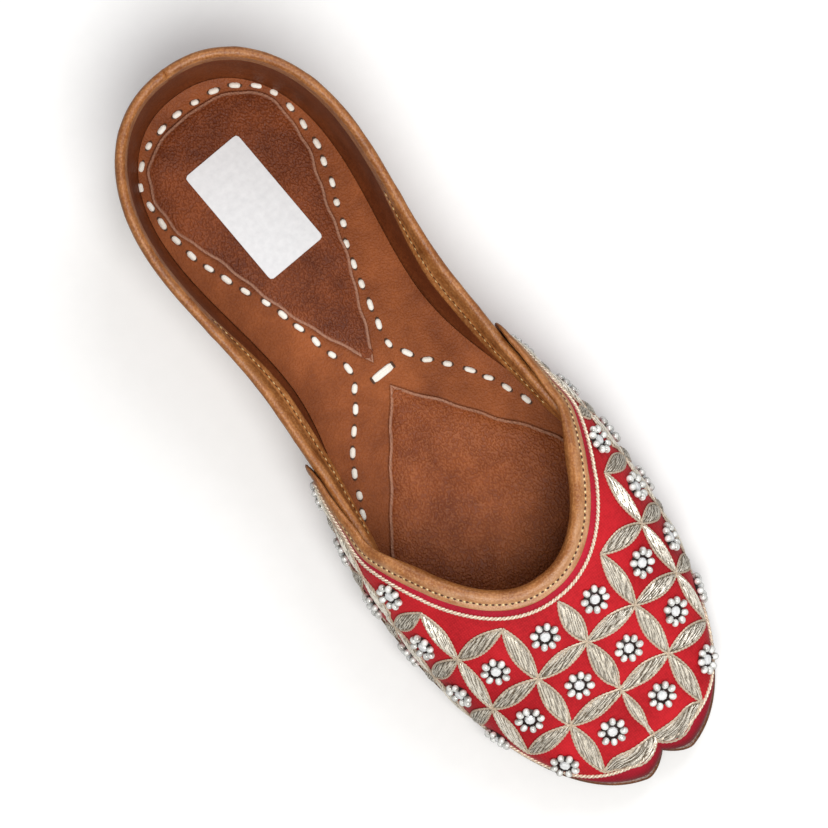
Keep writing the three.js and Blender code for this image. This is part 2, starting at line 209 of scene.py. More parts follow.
@dataclass
class Last:
    """The form that the shoe is closed on. Its surface is the outer face of the upper's wall."""

    frame_middle: float = 126.365  # station that lies on y = 0
    gap: float = 0.35  # room between two pieces that touch
    heel_centre: float = 44.5
    ball_centre: float = 167
    heel_reach: float = 41.2
    toe_reach: float = 84.2
    heel_half: float = 32
    waist_half: float = 26.6
    waist_station: float = 96
    ball_half: float = 41.2
    heel_roundness: float = 2.2
    toe_roundness: float = 2.26
    notch_depth: float = 5.2
    notch_half: float = 8.5
    notch_fade: float = 7
    toe_crowding: float = 1.6  # how the spokes crowd towards the toe's centre
    tuck: float = 1.6
    tuck_height: float = 9
    sole_thickness: float = 4
    spring_start: float = 192
    spring_end: float = 248
    spring_height: float = 3.5
    upper_wall: float = 1.8
    vamp_cloth: float = 1.4
    ear_room: float = 1.1
    ear_face: float = 0.7
    ear_skive: float = 0.45  # share of its thickness that the cloth loses towards the ear's rear edge
    skived: tuple = (114, 132)  # stations between which it is skived
    ear_free: tuple = (150, 170)  # stations between which the free ear closes on the lining
    ear_join: tuple = (141, 151)  # stations between which the ear's line runs into the throat's
    lining_join: tuple = (150, 164)  # stations between which the collar's line does
    throat_width: float = 40.5
    throat_back: float = 112
    throat_front: float = 185.2
    throat_bow: float = 1.5
    throat_tip: float = 0.46
    rows: tuple = (
        LastRow(0, 62, 9, 2),
        LastRow(60, 58, 8, 4.8),
        LastRow(100, 55, 6.5, 7.2),
        LastRow(125, 53, 3.5, 4.6),
        LastRow(145, 51, 2.8, 2.8),
        LastRow(184, 45.5, 2.6, 1),
        LastRow(225, 27, 2.6, 0.4),
        LastRow(250, 15, 2.6, 0),
    )
    edges: tuple = (
        EdgeRow(-10, 47.5, 36),
        EdgeRow(20, 47, 36),
        EdgeRow(60, 41.5, 36),
        EdgeRow(100, 36.8, 36),
        EdgeRow(135, 36, 37.5),
        EdgeRow(150, 36, 40),
    )

    def spring(self, s: Array | float) -> Array:
        """Gives how far the sole has curled up at a station."""
        curl = (s - self.spring_start) / (self.spring_end - self.spring_start)
        return self.spring_height * np.maximum(0, curl) ** 2

    @staticmethod
    def oval(turn: Array, half: float, reach: float, power: float) -> Array:
        """Gives the reach of a superellipse.

        Args:
            turn: the direction, from straight across.
            half: its reach across.
            reach: its reach forward.
            power: how square it is.

        Returns:
            Its reach in that direction.
        """
        across = (np.abs(np.cos(turn)) / half) ** power
        forward = (np.abs(np.sin(turn)) / reach) ** power
        return (across + forward) ** (-1 / power)

    def half_width(self, s: Array) -> Array:
        """Gives the half width of the feather edge along the waist.

        Args:
            s: the stations.

        Returns:
            The half width at each.
        """
        to_waist = smooth(self.heel_centre, self.waist_station, s)
        to_ball = smooth(self.waist_station, self.ball_centre, s)
        back = self.heel_half + (self.waist_half - self.heel_half) * to_waist
        front = self.waist_half + (self.ball_half - self.waist_half) * to_ball
        return np.where(s < self.waist_station, back, front)

    def spoke(self, u: Array) -> tuple[Array, Array, Array, Array]:
        """Gives a spoke in plan, from the centre line to the feather edge.

        Args:
            u: places along the outline.

        Returns:
            The spoke's start station, its direction across and forward, and its reach.
        """
        u = np.asarray(u, float)
        heel_turn = QUARTER_TURN * (1 - np.clip(u, 0, 1))
        toe_turn = QUARTER_TURN * (1 - np.clip(3 - u, 0, 1) ** self.toe_crowding)
        middle = self.heel_centre + (self.ball_centre - self.heel_centre) * (u - 1)
        at_heel, at_toe = u < 1, u >= 2
        turn = np.where(at_heel, -heel_turn, np.where(at_toe, toe_turn, 0))
        s = np.where(at_heel, self.heel_centre, np.where(at_toe, self.ball_centre, middle))
        heel = self.oval(heel_turn, self.heel_half, self.heel_reach, self.heel_roundness)
        toe = self.oval(toe_turn, self.ball_half, self.toe_reach, self.toe_roundness)
        reach = np.where(at_heel, heel, np.where(at_toe, toe, self.half_width(middle)))
        return s, np.cos(turn), np.sin(turn), reach

    def plan(self, u: Array, share: Array | float, push: Array | float = 0.0) -> tuple[Array, Array]:
        """Gives the plan point on a spoke.

        Args:
            u: places along the outline.
            share: how far along the spoke, 1 at the feather edge.
            push: how far the point is pushed out there.

        Returns:
            The point's x and its station.
        """
        s, across, forward, spoke_reach = self.spoke(u)
        reach = (spoke_reach + push) * share
        nick = self.notch_depth * np.maximum(0, 1 - reach * across / self.notch_half) ** 1.5
        reach = np.where(np.asarray(u) > 2, reach - nick * share**self.notch_fade, reach)
        return across * reach, s + forward * reach

    def point(self, u: Array, angle: Array) -> Array:
        """Gives points of the last's surface, on the shoe's right side.

        Args:
            u: places along the outline.
            angle: how far up the wall.

        Returns:
            The points, one row each.
        """
        u, angle = np.broadcast_arrays(np.asarray(u, float), np.asarray(angle, float))
        s, _, forward, reach = self.spoke(u)
        power = read(self.rows, "squareness", s + forward * reach * 0.7)
        cos, sin = np.abs(np.cos(angle)), np.sin(np.maximum(0, angle))
        scale = (cos**power + sin**power) ** (1 / power)
        share = cos / scale
        crown = read(self.rows, "crown", s + forward * share * reach)
        height = (crown - self.sole_thickness) * np.sin(angle) / scale
        lean = read(self.rows, "flare", s + forward * reach)
        drawn_in = self.tuck * np.maximum(0, 1 - height / self.tuck_height) ** 2
        x, station = self.plan(u, share, lean * np.minimum(1.1, height / 40) - drawn_in)
        z = self.sole_thickness + self.gap + height + self.spring(station)
        return np.stack([x, self.frame_middle - station, z], -1)

    def station(self, points: Array) -> Array:
        """Gives the stations of points."""
        return self.frame_middle - points[..., 1]

    def columns(self, heel: int, waist: int, toe: int) -> tuple[Array, Array]:
        """Spaces columns round the whole outline.

        Args:
            heel: how many round half the heel.
            waist: how many along one side.
            toe: how many round half the toe.

        Returns:
            The u and the side of each, up the right side and back down the left.
        """
        u = np.concatenate([np.arange(heel) / heel, 1 + np.arange(waist) / waist,
                            2 + np.arange(toe + 1) / toe])
        side = np.concatenate([np.ones(len(u)), -np.ones(len(u) - 2)])
        return np.concatenate([u, u[-2:0:-1]]), side

    def wall(self, u: Array, angle: Array, outward: Array | float, side: Array | float = 1) -> Array:
        """Gives points at a distance outside the last's surface.

        Args:
            u: places along the outline.
            angle: how far up the wall.
            outward: the distance, below 0 on the inside.
            side: 1 for the right side, -1 for the left.

        Returns:
            The points, one row each.
        """
        u, angle, outward, side = np.broadcast_arrays(u, angle, outward, side)
        forward = self.point(np.minimum(3, u + NUDGE), angle) - self.point(np.maximum(0, u - NUDGE), angle)
        up = self.point(u, angle + NUDGE) - self.point(u, np.maximum(0, angle - NUDGE))
        normal = np.cross(up, forward)
        normal[..., 0] = np.where((u == 0) | (u == 3), 0, normal[..., 0])
        points = self.point(u, angle) + unit(normal) * outward[..., None]
        floor = self.sole_thickness + self.gap + self.spring(self.station(points))
        points[..., 2] = np.maximum(points[..., 2], floor)
        points[..., 0] *= side
        return points

    def angle_where(self, u: Array, test: Callable[[Array], Array]) -> Array:
        """Finds the angle at which each spoke's section first meets a test."""
        top = np.full_like(u, QUARTER_TURN)
        return halve(np.zeros_like(u), top, lambda angle: test(self.point(u, angle)))

    def in_throat(self, points: Array) -> Array:
        """Tells which points lie inside the throat's outline.

        Args:
            points: points of the last's surface.

        Returns:
            True for the points inside.
        """
        length = self.throat_front - self.throat_back
        t = np.clip((self.station(points) - self.throat_back) / length, 0, 1)
        return points[..., 0] < self.throat_width * (1 - t**self.throat_bow) ** self.throat_tip

    def over(self, column: str) -> Callable[[Array], Array]:
        """Makes the test for points above a top line.

        Args:
            column: the line, "collar" or "ear".

        Returns:
            The test.
        """
        def test(points: Array) -> Array:
            """Tells which points are higher than the line."""
            s = self.station(points)
            return points[..., 2] - self.spring(s) > read(self.edges, column, s)

        return test

    @cached_property
    def outline(self) -> tuple[Array, Array, Array]:
        """Tables along the outline: u, the collar's angle and the vamp's top angle."""
        u = np.linspace(0, 3, 1501)
        station = self.outline_station(u)
        throat = self.angle_where(u, self.in_throat)
        blend = smooth(*self.lining_join, station)
        lining = self.angle_where(u, self.over("collar")) * (1 - blend) + throat * blend
        blend = smooth(*self.ear_join, station)
        vamp = self.angle_where(u, self.over("ear")) * (1 - blend) + throat * blend
        return u, lining, vamp

    def lining_edge(self, u: Array) -> Array:
        """Gives the angle of the upper's own top edge."""
        return np.interp(u, self.outline[0], self.outline[1])

    def vamp_edge(self, u: Array) -> Array:
        """Gives the angle of the vamp's top edge: the ear, then the throat."""
        return np.interp(u, self.outline[0], self.outline[2])

    def outline_station(self, u: Array) -> Array:
        """Gives the station of the feather edge."""
        return self.station(self.point(u, np.zeros_like(u)))

    def stand_off(self, u: Array, angle: Array) -> Array:
        """Gives how far the vamp's inner face stands outside the last.

        Args:
            u: places along the outline.
            angle: how far up the wall.

        Returns:
            The distance at each place.
        """
        share = angle / self.vamp_edge(u)
        free = 1 - smooth(*self.ear_free, self.outline_station(u))
        return self.gap + self.ear_room * free * smooth(0, 0.8, share)

    def face(self, u: Array, angle: Array) -> Array:
        """Gives how far the vamp's outer face stands outside the last.

        Args:
            u: places along the outline.
            angle: how far up the wall.

        Returns:
            The distance at each place.
        """
        loose = (self.stand_off(u, angle) - self.gap) * self.ear_face / self.ear_room
        full = 1 - self.ear_skive * (1 - smooth(*self.skived, self.outline_station(u)))
        return self.gap + self.vamp_cloth * full + loose

    def step_off(self, u: Array, angle: Array, distance: Array | float) -> tuple[Array, Array]:
        """Walks square off a line that runs forward over the last, down the wall.

        Args:
            u: the line's places along the outline.
            angle: its angles.
            distance: how far to walk, below 0 to walk up.

        Returns:
            The u and the angle where the walks end.
        """
        steps = 4
        way = unit(np.gradient(self.point(u, angle), axis=0))
        way[u == 0, 0] = 0
        way[u == 3] = (-1, 0, 0)
        at_u, at_angle = u.copy(), angle.copy()
        for _ in range(steps):
            low, high = np.maximum(0, at_u - NUDGE), np.minimum(3, at_u + NUDGE)
            forward = (self.point(high, at_angle) - self.point(low, at_angle)) / (high - low)[:, None]
            base = np.maximum(at_angle, NUDGE)
            up = (self.point(at_u, base + NUDGE) - self.point(at_u, base - NUDGE)) / (2 * NUDGE)
            out = unit(np.cross(up, forward))
            down = unit(np.cross(out, way)) * (np.broadcast_to(distance, u.shape) / steps)[:, None]
            uu, ua, aa = (forward**2).sum(-1), (forward * up).sum(-1), (up**2).sum(-1)
            to_u, to_a = (down * forward).sum(-1), (down * up).sum(-1)
            spread = uu * aa - ua * ua
            at_u = at_u + (to_u * aa - to_a * ua) / spread
            at_angle = np.maximum(0, at_angle + (to_a * uu - to_u * ua) / spread)
            at_u = np.where((u == 0) | (u == 3), u, np.clip(at_u, 0, TOE_LIMIT))
        return at_u, at_angle


@dataclass
class ClothMap:
    """Finds the place on the vamp under a point of the flat embroidery chart.

    A chart point is its distance across from the centre line, along the cloth, and its station.
    """

    last: Last
    first: float = 108
    final: float = 246
    reach: float = 90
    fineness: float = 0.5  # the tables' step across

    @cached_property
    def tables(self) -> tuple[Array, Array, Array, Array, Array]:
        """Tables of u, of angle and of the cloth's width, by station and distance across."""
        stations = np.arange(self.first, self.final + 0.5, 1.0)
        last = self.last
        at_toe = stations > last.ball_centre + 0.5
        crown, toe_line = np.full_like(stations, QUARTER_TURN), np.full_like(stations, 3.0)
        on_line = halve(np.zeros_like(stations), crown,
                        lambda angle: last.station(last.point(toe_line, angle)) <= stations)
        # Each row of points runs from the centre line down to the sole, closest where it starts.
        fall = 1 - np.linspace(0, 1, 110) ** 2
        angle = np.where(at_toe, on_line, crown)[:, None] * fall[None]
        straight = 1 + (stations - last.heel_centre) / (last.ball_centre - last.heel_centre)
        round_toe = halve(np.full(angle.shape, 2.0), np.full(angle.shape, 2.97),
                          lambda u: last.station(last.point(u, angle)) >= stations[:, None])
        u = np.where(at_toe[:, None], round_toe, np.minimum(2, straight)[:, None])
        u[at_toe, 0] = 3.0
        points = last.wall(u, angle, last.face(u, angle) + 0.4)
        points[:, 0, 0] = 0
        across = np.arange(0, self.reach, self.fineness)
        table_u, table_angle, width = [], [], []
        for row in range(len(stations)):
            walked = along(points[row])
            table_u.append(np.interp(across, walked, u[row]))
            table_angle.append(np.interp(across, walked, angle[row]))
            width.append(walked[-1])
        return stations, across, np.array(table_u), np.array(table_angle), np.array(width)

    def place(self, chart: Array) -> tuple[Array, Array, Array]:
        """Finds where chart points lie.

        Args:
            chart: points as (across, station).

        Returns:
            The u, the angle and the side of each.
        """
        stations, across, table_u, table_angle, _ = self.tables
        row = np.clip(chart[..., 1] - stations[0], 0, len(stations) - 1.001)
        column = np.clip(np.abs(chart[..., 0]) / self.fineness, 0, len(across) - 1.001)
        i, j = row.astype(int), column.astype(int)
        f, g = row - i, column - j
        found = []
        for table in (table_u, table_angle):
            here = table[i, j] * (1 - g) + table[i, j + 1] * g
            ahead = table[i + 1, j] * (1 - g) + table[i + 1, j + 1] * g
            found.append(here * (1 - f) + ahead * f)
        return found[0], found[1], np.where(chart[..., 0] < 0, -1.0, 1.0)

    def cloth(self, chart: Array, height: Array | float) -> Array:
        """Gives points above the vamp's face.

        Args:
            chart: points as (across, station).
            height: how far above the cloth they lie.

        Returns:
            The points, one row each.
        """
        u, angle, side = self.place(chart)
        return self.last.wall(u, angle, self.last.face(u, angle) + height, side)

    def axes(self, chart: Array) -> tuple[Array, Array, Array, Array]:
        """Gives the cloth's own frame at chart points.

        Args:
            chart: points as (across, station).

        Returns:
            The points on the cloth, and the directions across, forward and out of it.
        """
        nudge = 0.8
        across = unit(self.cloth(chart + [nudge, 0], 0) - self.cloth(chart - [nudge, 0], 0))
        forward = unit(self.cloth(chart + [0, nudge], 0) - self.cloth(chart - [0, nudge], 0))
        out = unit(np.cross(forward, across))
        return self.cloth(chart, 0), across, np.cross(across, out), out


# ---- meshes --------------------------------------------------------------------------------
@dataclass
class Shape:
    """Points and faces gathered for one mesh. Tint is a number on each point for its finish."""

    points: list = field(default_factory=list)
    faces: list = field(default_factory=list)
    tints: list = field(default_factory=list)
    slots: list = field(default_factory=list)
    count: int = 0
    weld: float = 0.002  # points closer than this become one

    def add(self, points: Array, faces: Array, tint: Array | float = 0.5, slot: int = 0) -> None:
        """Adds points and the faces between them.

        Args:
            points: the new points, one row each.
            faces: rows of indices into the new points.
            tint: each point's number, or one for all.
            slot: the index of the finish.
        """
        points = np.asarray(points, float).reshape(-1, 3)
        self.points.append(points)
        self.faces.extend((np.asarray(faces) + self.count).tolist())
        self.tints.append(np.broadcast_to(tint, (len(points),)))
        self.slots.extend([slot] * len(faces))
        self.count += len(points)

    def grid(self, points: Array, round_rows: bool = False, round_columns: bool = False,
             tint: Array | float = 0.5, slot: int = 0) -> None:
        """Adds a sheet of four-sided faces.

        Args:
            points: the sheet's points, by row and column.
            round_rows: whether the last row joins the first.
            round_columns: whether the last column joins the first.
            tint: each point's number, or one for all.
            slot: the index of the finish.
        """
        rows, columns = points.shape[:2]
        index = np.arange(rows * columns).reshape(rows, columns)
        if round_rows:
            index = np.vstack([index, index[:1]])
        if round_columns:
            index = np.hstack([index, index[:, :1]])
        faces = np.stack([index[:-1, :-1], index[:-1, 1:], index[1:, 1:], index[1:, :-1]], -1)
        tints = tint if np.ndim(tint) == 0 else np.broadcast_to(tint, (rows, columns)).reshape(-1)
        self.add(points.reshape(-1, 3), faces.reshape(-1, 4), tints, slot)

    def lid(self, ring: Array, tint: float = 0.5, slot: int = 0) -> None:
        """Closes a ring of points with one many-sided face."""
        self.add(ring, np.arange(len(ring))[None], tint, slot)

    def slab(self, last: Last, edge: Array, centre: Array, profile: tuple, rim_tint: Array | None = None,
             rough: float = 0.0, middle_x: float = 0.0) -> None:
        """Adds a flat closed piece with a shaped rim, which follows the sole's curl.

        Args:
            last: the last, for its curl.
            edge: the outline's points, as (x, s).
            centre: the station on the centre line that each outline point is drawn from.
            profile: (push, height) pairs round the rim, from its top to its underside.
            rim_tint: the number for the finish at each pair.
            rough: how far the top swells and sinks.
            middle_x: the x of the centre line.
        """
        way = np.roll(edge, -1, 0) - np.roll(edge, 1, 0)
        normal = unit(np.stack([way[:, 1], -way[:, 0]], -1))
        heart = np.stack([np.full(len(edge), middle_x), centre], -1)
        if ((edge - heart) * normal).sum() < 0:
            normal = -normal
        rings = [(edge + normal * push, height) for push, height in profile]
        (high_ring, high), (low_ring, low) = rings[0], rings[-1]
        shares = (0, 0.12, 0.25, 0.4, 0.55, 0.7, 0.82, 0.92)
        over = [(heart + (high_ring - heart) * share, high) for share in shares]
        under = [(heart + (low_ring - heart) * share, low) for share in (0.6, 0)]
        tints = np.full(len(profile), 0.5) if rim_tint is None else rim_tint
        numbers = [0.5] * len(over) + list(tints) + [0.5] * len(under)
        points = []
        # The top swells in waves 20 to 50 mm long that cross each other.
        for plan, height in over + rings + under:
            x, s = plan[:, 0], plan[:, 1]
            swell = np.sin(x * 0.31 + 1) * np.sin(s * 0.17) + 0.6 * np.sin(x * 0.13 - s * 0.29 + 2)
            top = smooth(low + 0.5, high, height)
            z = height + last.spring(s) + (rough * swell - rough) * top
            points.append(np.stack([x, last.frame_middle - s, z], -1))
        tint = np.repeat(np.array(numbers)[:, None], len(edge), 1)
        self.grid(np.array(points), round_columns=True, tint=tint)

    def tube(self, centres: Array, radius: Array | float, sides: int, closed: bool = False,
             flat: float = 1.0, up: Array | None = None, tint: Array | float = 0.5, slot: int = 0) -> None:
        """Adds a round or flattened tube along a line.

        Args:
            centres: the line's points.
            radius: the tube's radius at each, or one for all.
            sides: how many sides it has.
            closed: whether the line returns to its start.
            flat: its height as a share of its width.
            up: the direction that its height has, or none where it doesn't matter.
            tint: each point's number, or one for all.
            slot: the index of the finish.
        """
        if closed:
            way = unit(np.roll(centres, -1, 0) - np.roll(centres, 1, 0))
        else:
            way = unit(np.gradient(centres, axis=0))
        out = np.broadcast_to([0.0, 0.0, 1.0] if up is None else up, centres.shape)
        aside = unit(np.cross(way, out))
        out = np.cross(aside, way)
        turn = np.arange(sides) * 2 * math.pi / sides
        size = np.broadcast_to(radius, (len(centres),))[:, None, None]
        wide, high = np.cos(turn)[None, :, None], (flat * np.sin(turn))[None, :, None]
        points = centres[:, None] + (aside[:, None] * wide + out[:, None] * high) * size
        if np.ndim(tint) == 1:
            tint = np.repeat(np.asarray(tint)[:, None], sides, 1)
        self.grid(points, round_rows=closed, round_columns=True, tint=tint, slot=slot)

    def strands(self, centres: Array, radii: Array, up: Array, sides: int, tint: Array) -> None:
        """Adds many short tubes, all with the same number of points.

        Args:
            centres: the tubes' points, by tube and place along it.
            radii: the radius at each.
            up: the direction away from the cloth at each.
            sides: how many sides the tubes have.
            tint: the number for the finish at each point.
        """
        way = unit(np.gradient(centres, axis=1))
        aside = unit(np.cross(way, up))
        out = np.cross(aside, way)
        turn = np.arange(sides) * 2 * math.pi / sides
        ring = aside[:, :, None] * np.cos(turn)[:, None] + out[:, :, None] * np.sin(turn)[:, None]
        points = centres[:, :, None] + ring * radii[:, :, None, None]
        tubes, rows = centres.shape[:2]
        index = np.arange(tubes * rows * sides).reshape(tubes, rows, sides)
        ahead = np.roll(index, -1, 2)
        faces = np.stack([index[:, :-1], ahead[:, :-1], ahead[:, 1:], index[:, 1:]], -1)
        self.add(points.reshape(-1, 3), faces.reshape(-1, 4), np.repeat(tint.reshape(-1), sides))

    def build(self, name: str, finishes: list, slot: str, sharp_degrees: float = 60) -> Piece:
        """Makes the mesh and its object, riding on the shoe.

        Args:
            name: the piece's name.
            finishes: the finishes, by index.
            slot: the record's material slot; not used.
            sharp_degrees: edges that bend more than this stay sharp.

        Returns:
            The new object.
        """
        mesh = bpy.data.meshes.new(name)
        mesh.from_pydata((np.vstack(self.points) * MM).tolist(), [], self.faces)
        tint = mesh.attributes.new("tint", "FLOAT", "POINT")
        tint.data.foreach_set("value", np.concatenate(self.tints).astype(np.float32))
        mesh.polygons.foreach_set("material_index", self.slots)
        mesh.polygons.foreach_set("use_smooth", np.ones(len(self.faces), bool))
        for finish in finishes:
            mesh.materials.append(finish.material)
        work = bmesh.new()
        work.from_mesh(mesh)
        bmesh.ops.remove_doubles(work, verts=work.verts, dist=self.weld * MM)
        bmesh.ops.recalc_face_normals(work, faces=work.faces)
        work.to_mesh(mesh)
        work.free()
        mesh.update()
        mesh.set_sharp_from_angle(angle=math.radians(sharp_degrees))
        piece = bpy.data.objects.new(name, mesh)
        bpy.context.scene.collection.objects.link(piece)
        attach(piece, "root")
        LOG.info("%s: %d faces", name, len(mesh.polygons))
        return piece


# ---- finishes ------------------------------------------------------------------------------
def linear(code: str) -> tuple[float, float, float, float]:
    """Turns an sRGB colour into a linear one.

    Args:
        code: the colour, as a hash sign and six hex digits.

    Returns:
        Linear red, green, blue and alpha.
    """
    parts = [int(code[i : i + 2], 16) / 255 for i in (1, 3, 5)]
    r, g, b = (c / 12.92 if c <= 0.04045 else ((c + 0.055) / 1.055) ** 2.4 for c in parts)
    return (r, g, b, 1.0)


def per(size_mm: float) -> float:
    """Gives the texture scale at which one cell is so many millimetres."""
    return 1 / (size_mm * MM)


def add(tree: Tree, kind: str, settings: dict | None = None, inputs: dict | None = None,
        get: int | str = 0) -> Socket:
    """Adds a node.

    Args:
        tree: the material's node tree.
        kind: the node's type, without the ShaderNode that it starts with.
        settings: the node's own settings.
        inputs: a value or a linked socket for each named or numbered input.
        get: which output is wanted.

    Returns:
        That output, or nothing where the node has none.
    """
    made = tree.nodes.new("ShaderNode" + kind)
    for name, value in (settings or {}).items():
        setattr(made, name, value)
    for name, value in (inputs or {}).items():
        if isinstance(value, Socket):
            tree.links.new(value, made.inputs[name])
        else:
            made.inputs[name].default_value = value
    return made.outputs[get] if made.outputs else None


RGBA = {"data_type": "RGBA"}  # makes a mix one of colours


@dataclass(frozen=True)
class Finish:
    """What every finish has: a name, and a material that is made once."""

    name: str

    @cached_property
    def material(self) -> bpy.types.Material:
        """The Blender material."""
        made = bpy.data.materials.new(self.name)
        made.use_nodes = True
        tree = made.node_tree
        tree.nodes.clear()
        add(tree, "OutputMaterial", inputs={"Surface": self.shade(tree)})
        return made

    def shade(self, tree: Tree) -> Socket:
        """Builds the finish's nodes.

        Args:
            tree: the material's node tree.

        Returns:
            The shader.
        """
        raise NotImplementedError


@dataclass(frozen=True)
class Leather(Finish):
    """Vegetable-tanned leather: mottled by the dye, with a pebbled grain that catches the light. Its tops are
    painted lighter and its hollows darker, partly dye and partly painted highlight and shade.
    """

    deep: str  # dye of the mottle, and of the grain's hollows, where it is partly painted shade
    face: str  # dye on the face
    high: str  # rubbed tops of the grain, in specks that are partly painted highlight
    grain: float  # width of a pebble, in millimetres
    relief: float  # depth of the grain, in millimetres
    contrast: float  # how far the grain's colours part, 0 to 1, which sets its painted highlight and shade
    rough: float
    stretch: tuple[float, float, float] = (1, 1, 1)  # how the skin was pulled on the last
    coat: float = 0.0
    cloud: float = 14  # size of the dye's clouds, in millimetres
    cut: str = "#D9A878"  # a skived or cut edge
    shine: float = 0.5  # how strongly its face reflects
    soil_and_shade_colour: str = "#4A3020"  # what the hollows of a fold have gathered

    def shade(self, tree: Tree) -> Socket:
        """Builds the finish's nodes and gives its shader."""
        where = add(tree, "TexCoord", get="Object")
        pulled = add(tree, "Mapping", inputs={"Vector": where, "Scale": self.stretch})
        # The wobble bends the grain's cells out of their even net.
        wobble = add(tree, "TexNoise", None, {"Vector": pulled, "Scale": per(self.grain * 1.7), "Detail": 2},
                     "Color")
        bent = add(tree, "Mix", {"data_type": "VECTOR"}, {"Factor": 0.0003, 4: pulled, 5: wobble}, 1)
        pebbles = add(tree, "TexVoronoi", {"feature": "SMOOTH_F1"},
                      {"Vector": bent, "Scale": per(self.grain), "Smoothness": 0.5})
        tops = add(tree, "MapRange", {"interpolation_type": "SMOOTHSTEP"},
                   {"Value": pebbles, "From Min": 0.72, "From Max": 0.34})
        mottle = add(tree, "TexNoise", inputs={"Vector": where, "Scale": per(self.cloud), "Detail": 4,
                                               "Roughness": 0.6})
        fine = add(tree, "TexNoise", inputs={"Vector": where, "Scale": per(0.6), "Detail": 3})
        dye = add(tree, "MapRange", inputs={"Value": mottle, "From Min": 0.32, "From Max": 0.68})
        body = add(tree, "Mix", RGBA, {"Factor": dye, 6: linear(self.deep), 7: linear(self.face)}, 2)
        # Painted highlight: specks on the pebbles' tops are mixed towards the high colour, partly rubbed
        # grain and partly standing in for each pebble's gloss.
        lift = add(tree, "Math", {"operation": "MULTIPLY"}, {0: tops, 1: self.contrast})
        speck = add(tree, "MapRange", inputs={"Value": fine, "From Min": 0.4, "From Max": 0.66})
        lift = add(tree, "Math", {"operation": "MULTIPLY"}, {0: lift, 1: speck})
        colour = add(tree, "Mix", RGBA, {"Factor": lift, 6: body, 7: linear(self.high)}, 2)
        # Painted shade: the hollows between pebbles are mixed towards the deep dye, partly dye and partly
        # standing in for the grain's shading.
        dark = add(tree, "Math", {"operation": "SUBTRACT"}, {0: 1.0, 1: tops})
        dark = add(tree, "Math", {"operation": "MULTIPLY"}, {0: dark, 1: self.contrast * 0.9})
        colour = add(tree, "Mix", RGBA, {"Factor": dark, 6: colour, 7: linear(self.deep)}, 2)
        tint = add(tree, "Attribute", {"attribute_name": "tint"}, get="Fac")
        soil_and_shade = add(tree, "MapRange", inputs={"Value": tint, "From Min": 0.5, "From Max": 0.0})
        colour = add(tree, "Mix", RGBA | {"blend_type": "MULTIPLY"},
                     {"Factor": soil_and_shade, 6: colour, 7: linear(self.soil_and_shade_colour)}, 2)
        cut = add(tree, "MapRange", inputs={"Value": tint, "From Min": 0.55, "From Max": 1.0})
        colour = add(tree, "Mix", RGBA, {"Factor": cut, 6: colour, 7: linear(self.cut)}, 2)
        grain = add(tree, "Bump", inputs={"Strength": 1.0, "Distance": self.relief * MM, "Height": tops})
        skin = add(tree, "Bump", inputs={"Strength": 0.6, "Distance": 0.05 * MM, "Height": fine,
                                         "Normal": grain})
        rough = add(tree, "MapRange",
                    inputs={"Value": fine, "From Min": 0.3, "From Max": 0.7,
                            "To Min": self.rough - 0.08, "To Max": self.rough + 0.1})
        return add(tree, "BsdfPrincipled",
                   inputs={"Base Color": colour, "Roughness": rough, "Normal": skin,
                           "IOR": 1.48, "Specular IOR Level": self.shine, "Coat Weight": self.coat,
                           "Coat Roughness": 0.35})


@dataclass(frozen=True)
class Cloth(Finish):
    """Closely woven cotton satin: saturated and matt, with a fine cross weave."""

    face: str
    shade_colour: str
    thread: float  # spacing of the threads, in millimetres
    soil_and_shade_colour: str = "#7A2024"  # painted shade, darkest where the cloth turns under towards the sole

    def shade(self, tree: Tree) -> Socket:
        """Builds the finish's nodes and gives its shader."""
        where = add(tree, "TexCoord", get="Object")
        # A wave's length is two pi over twenty of its scale.
        scale = 2 * math.pi / 20 * per(self.thread)
        warp, weft = (add(tree, "TexWave", {"bands_direction": way},
                          {"Vector": where, "Scale": scale, "Distortion": 1.2, "Detail": 1}, "Fac")
                      for way in ("X", "Y"))
        weave = add(tree, "Math", {"operation": "MULTIPLY"}, {0: warp, 1: weft})
        nap = add(tree, "TexNoise", inputs={"Vector": where, "Scale": per(1.1), "Detail": 4})
        broad = add(tree, "TexNoise", inputs={"Vector": where, "Scale": per(25), "Detail": 2})
        mixed = add(tree, "Math", {"operation": "MULTIPLY_ADD"}, {0: nap, 1: 0.5, 2: broad})
        mixed = add(tree, "Math", {"operation": "MULTIPLY_ADD"}, {0: weave, 1: 0.18, 2: mixed})
        share = add(tree, "MapRange", inputs={"Value": mixed, "From Min": 0.6, "From Max": 1.0})
        colour = add(tree, "Mix", RGBA,
                     {"Factor": share, 6: linear(self.shade_colour), 7: linear(self.face)}, 2)
        tint = add(tree, "Attribute", {"attribute_name": "tint"}, get="Fac")
        # Painted shade: below one half, tint multiplies the colour towards the dark red. This darkens the
        # tape and the vamp's foot towards the sole, and the throat's tape a little all over.
        soil_and_shade = add(tree, "MapRange", inputs={"Value": tint, "From Min": 0.5, "From Max": 0.0})
        colour = add(tree, "Mix", RGBA | {"blend_type": "MULTIPLY"},
                     {"Factor": soil_and_shade, 6: colour, 7: linear(self.soil_and_shade_colour)}, 2)
        bump = add(tree, "Bump", inputs={"Strength": 0.5, "Distance": 0.09 * MM, "Height": weave})
        return add(tree, "BsdfPrincipled",
                   inputs={"Base Color": colour, "Roughness": 0.72, "Normal": bump, "IOR": 1.45,
                           "Specular IOR Level": 0.25, "Sheen Weight": 0.1, "Sheen Roughness": 0.4})


